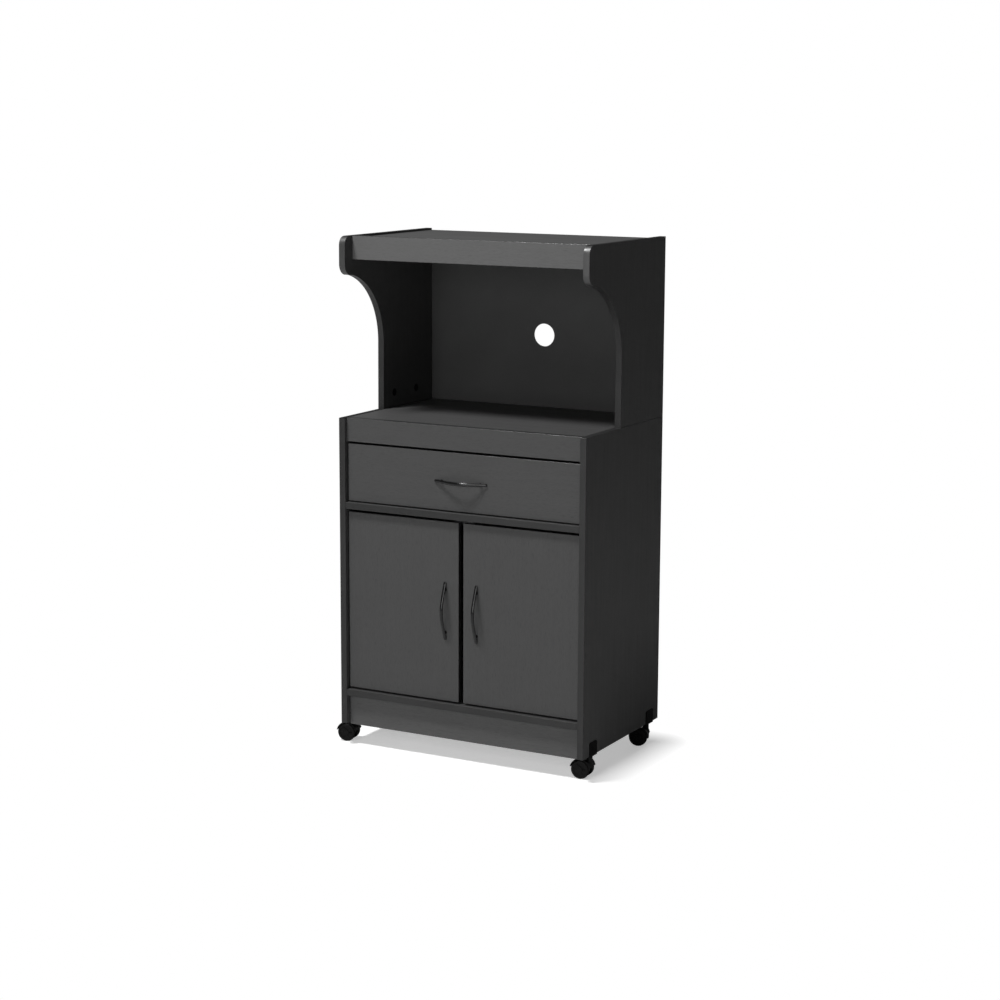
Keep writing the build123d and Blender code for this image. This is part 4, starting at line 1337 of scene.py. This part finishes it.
class CABINET_OT_cams(bpy.types.Operator):
    """Builds the cam discs, flush in their pockets, and the covers over the hutch sides' discs"""

    bl_idname = "cabinet.cams"
    bl_label = "Cam discs"

    def execute(self, context):
        covered = hutch_cam_places(-1) + hutch_cam_places(1)
        places = [place for node in CAM_BOARDS for place in cam_places(node)] + covered
        mesh = bmesh.new()
        stamp(mesh, cam_disc(), [aimed(point - CAM_DEPTH * way, way) for point, way in places])
        finished("cam_discs_turned", mesh, ("hardware_steel",), "cam_discs")
        cap = turned(
            (
                (0, CAP_GAP),
                (CAP_RADIUS, CAP_GAP),
                (CAP_RADIUS, CAP_HEIGHT * 0.4),
                (CAP_RADIUS * 0.92, CAP_HEIGHT * 0.85),
                (CAP_RADIUS * 0.7, CAP_HEIGHT),
                (0, CAP_HEIGHT),
            ),
            CAP_STEPS,
        )
        mesh = bmesh.new()
        stamp(mesh, cap, [aimed(point, way) for point, way in covered])
        covers = finished("cam_covers", mesh, ("castor_plastic",), "cam_discs")
        return {"FINISHED"}


NAIL_RADIUS = 0.75 * MM
NAIL_HEAD_RADIUS = 2 * MM
NAIL_POINT = 2 * MM
NAIL_STEPS = 10
NAIL_COLUMNS = (-1 / 2, -1 / 6, 1 / 6, 1 / 2)
NAIL_ROWS = 4


def nail_places():
    """Where the nails go in, across and up: in rows into level boards, and up the sides."""
    panel_low, panel_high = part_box("left_side_panel")
    board = panel_high.x - panel_low.x
    inner = abs(panel_high.x)
    places = []
    for node in ("worktop", "mid_shelf", "bottom_shelf", "hutch_top"):
        low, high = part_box(node)
        places += [(share * inner, (low.z + high.z) / 2) for share in NAIL_COLUMNS]
    for node, top_inset in (("base_back", 2 * board), ("hutch_back", 3 * board)):
        low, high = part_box(node)
        bottom, top = low.z + 2 * board, high.z - top_inset
        for n in range(NAIL_ROWS):
            z = bottom + (top - bottom) * n / (NAIL_ROWS - 1)
            places += [(side * (inner + board / 2), z) for side in (-1, 1)]
    return places


class CABINET_OT_nails(bpy.types.Operator):
    """Builds the nails of the back sheets"""

    bl_idname = "cabinet.nails"
    bl_label = "Back nails"

    def execute(self, context):
        low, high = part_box("back_nails")
        length = high.y - low.y
        nail = turned(
            (
                (0, -length),
                (NAIL_RADIUS, NAIL_POINT - length),
                (NAIL_RADIUS, -0.5 * MM),
                (NAIL_HEAD_RADIUS, -0.3 * MM),
                (NAIL_HEAD_RADIUS, 0.1 * MM),
                (NAIL_HEAD_RADIUS * 0.6, 0.35 * MM),
                (0, 0.45 * MM),
            ),
            NAIL_STEPS,
        )
        mesh = bmesh.new()
        stamp(mesh, nail, [aimed((x, high.y, z), Y) for x, z in nail_places()])
        finished("back_nails_driven", mesh, ("hardware_steel",), "back_nails")
        return {"FINISHED"}


# Stage


WHITE = (1, 1, 1, 1)
FLOOR_RADIUS = 14
FLOOR_GREY = (0.82, 0.82, 0.82, 1)
FLOOR_GLOW = 0.42

# The floor is grey paper over this half size and fades to white in this width, in metres
SHADOW_REACH = (0.3, 0.18, 0)
SHADOW_FADE = 0.08

SENSOR_WIDTH = 36
CAMERA_PLACE = (2.33468, -4.32146, 1.44747)
CAMERA_AZIMUTH, CAMERA_ELEVATION, CAMERA_ROLL = (
    math.radians(angle) for angle in (28.388, 10.221, -0.242)
)


def lamp(name, place, target, power, size):
    """A soft square lamp at a place, aimed at a target."""
    data = bpy.data.lights.new(name, "AREA")
    data.shape = "RECTANGLE"
    data.size = data.size_y = size
    data.energy = power
    made = bpy.data.objects.new(name, data)
    made.matrix_world = aimed(place, Vector(place) - Vector(target))
    bpy.context.scene.collection.objects.link(made)


def light_surroundings(world, stage):
    """White behind everything for the camera, and dimmer light and gloss from all round."""
    made = Finish(world)
    seen = made.ray("Camera") + made.ray("Transmission")
    strength = made.spread(made.ray("Glossy"), 0.0, 1.0, stage.sky_light, stage.sky_gloss)
    around = made.node("Background", inputs={"Color": WHITE, "Strength": strength})
    white = made.node("Background", inputs={"Color": WHITE, "Strength": 1.0})
    surface = made.node("MixShader", inputs={0: seen, 1: around, 2: white})
    made.node("OutputWorld", inputs={"Surface": surface})


def floor_paper():
    """Matt near the cabinet, where it takes the shadow, and white for the camera away from it."""
    made = new_finish("floor_paper")
    past = made.node("TexCoord", output="Object")
    for operation, other in (
        ("ABSOLUTE", (0, 0, 0)),
        ("SUBTRACT", SHADOW_REACH),
        ("MAXIMUM", (0, 0, 0)),
    ):
        past = made.node("VectorMath", {"operation": operation}, {0: past, 1: other})
    distance = made.node("VectorMath", {"operation": "LENGTH"}, {0: past}, output="Value")
    paper = made.node("BsdfDiffuse", inputs={"Color": FLOOR_GREY})
    glow = made.node("Emission", inputs={"Color": WHITE, "Strength": FLOOR_GLOW})
    lifted = made.node("AddShader", inputs={0: paper, 1: glow})
    near = made.node("MixShader", inputs={0: made.ray("Camera"), 1: paper, 2: lifted})
    pure = made.node("Emission", inputs={"Color": WHITE, "Strength": 1.0})
    share = made.spread(distance, 0.0, SHADOW_FADE) * made.ray("Camera")
    surface = made.node("MixShader", inputs={0: share, 1: near, 2: pure})
    made.node("OutputMaterial", inputs={"Surface": surface})
    return made.owner


class CABINET_OT_stage(bpy.types.Operator):
    """Sets up the pale floor, the soft lamps and the camera"""

    bl_idname = "cabinet.stage"
    bl_label = "Stage"

    def execute(self, context):
        scene = context.scene
        stage = scene.cabinet_stage
        scene.view_settings.view_transform = "Standard"

        scene.world = bpy.data.worlds.new("Studio")
        light_surroundings(scene.world, stage)

        mesh = bmesh.new()
        bmesh.ops.create_circle(mesh, cap_ends=True, segments=96, radius=FLOOR_RADIUS)
        bmesh.ops.recalc_face_normals(mesh, faces=mesh.faces)
        data = bpy.data.meshes.new("floor")
        mesh.to_mesh(data)
        mesh.free()
        data.materials.append(floor_paper())
        floor = bpy.data.objects.new("floor", data)
        scene.collection.objects.link(floor)

        lamp("key_lamp", (-0.85, -1.31, 3.6), (0, 0, 0.6), stage.key_power, 0.6)
        lamp("front_lamp", (0.05, -3.1, 1.15), (0, 0, 0.6), stage.front_power, 1.5)
        lamp("back_lamp", (-0.6, 2.6, 0.5), (0, 0, 0.5), stage.back_power, 0.9)

        # The camera, from the photograph's viewpoint
        level = Vector((math.sin(CAMERA_AZIMUTH), -math.cos(CAMERA_AZIMUTH), 0))
        back = math.cos(CAMERA_ELEVATION) * level + math.sin(CAMERA_ELEVATION) * Z
        right = (-back).cross(Z).normalized()
        up = back.cross(right)
        tilt_cos, tilt_sin = math.cos(CAMERA_ROLL), math.sin(CAMERA_ROLL)
        right, up = tilt_cos * right - tilt_sin * up, tilt_sin * right + tilt_cos * up
        data = bpy.data.cameras.new("camera")
        data.sensor_width = SENSOR_WIDTH
        data.lens = stage.lens
        camera = bpy.data.objects.new("camera", data)
        turn = Matrix((right, up, back)).transposed().to_4x4()
        camera.matrix_world = Matrix.Translation(CAMERA_PLACE) @ turn
        scene.collection.objects.link(camera)
        scene.camera = camera
        return {"FINISHED"}


STEPS = (
    CABINET_OT_finishes,
    CABINET_OT_boards,
    CABINET_OT_side_panels,
    CABINET_OT_hutch_sides,
    CABINET_OT_backs,
    CABINET_OT_doors,
    CABINET_OT_drawer,
    CABINET_OT_handles,
    CABINET_OT_castors,
    CABINET_OT_saddles,
    CABINET_OT_cams,
    CABINET_OT_nails,
    CABINET_OT_stage,
)


class CABINET_PT_panel(bpy.types.Panel):
    """The cabinet's steps and settings"""

    bl_idname = "CABINET_PT_panel"
    bl_label = "Kitchen cabinet"
    bl_space_type = "VIEW_3D"
    bl_region_type = "UI"
    bl_category = "Cabinet"

    def draw(self, context):
        layout = self.layout
        for name in ("cabinet_sizes", "cabinet_finishes", "cabinet_stage"):
            group = getattr(context.scene, name)
            for prop in group.__annotations__:
                layout.prop(group, prop)
        for step in STEPS:
            layout.operator(step.bl_idname)


GROUPS = {
    "cabinet_sizes": CabinetSizes,
    "cabinet_finishes": CabinetFinishes,
    "cabinet_stage": CabinetStage,
}
CLASSES = (*GROUPS.values(), *STEPS, CABINET_PT_panel)


def register():
    """Registers the classes and gives the scene its settings."""
    for cls in CLASSES:
        bpy.utils.register_class(cls)
    for name, group in GROUPS.items():
        setattr(bpy.types.Scene, name, bpy.props.PointerProperty(type=group))


def unregister():
    """Takes back what register did."""
    for name in GROUPS:
        delattr(bpy.types.Scene, name)
    for cls in reversed(CLASSES):
        bpy.utils.unregister_class(cls)


def main():
    """Runs every step in order."""
    register()
    for step in STEPS:
        area, name = step.bl_idname.split(".")
        getattr(getattr(bpy.ops, area), name)()


if __name__ == "__main__":
    main()
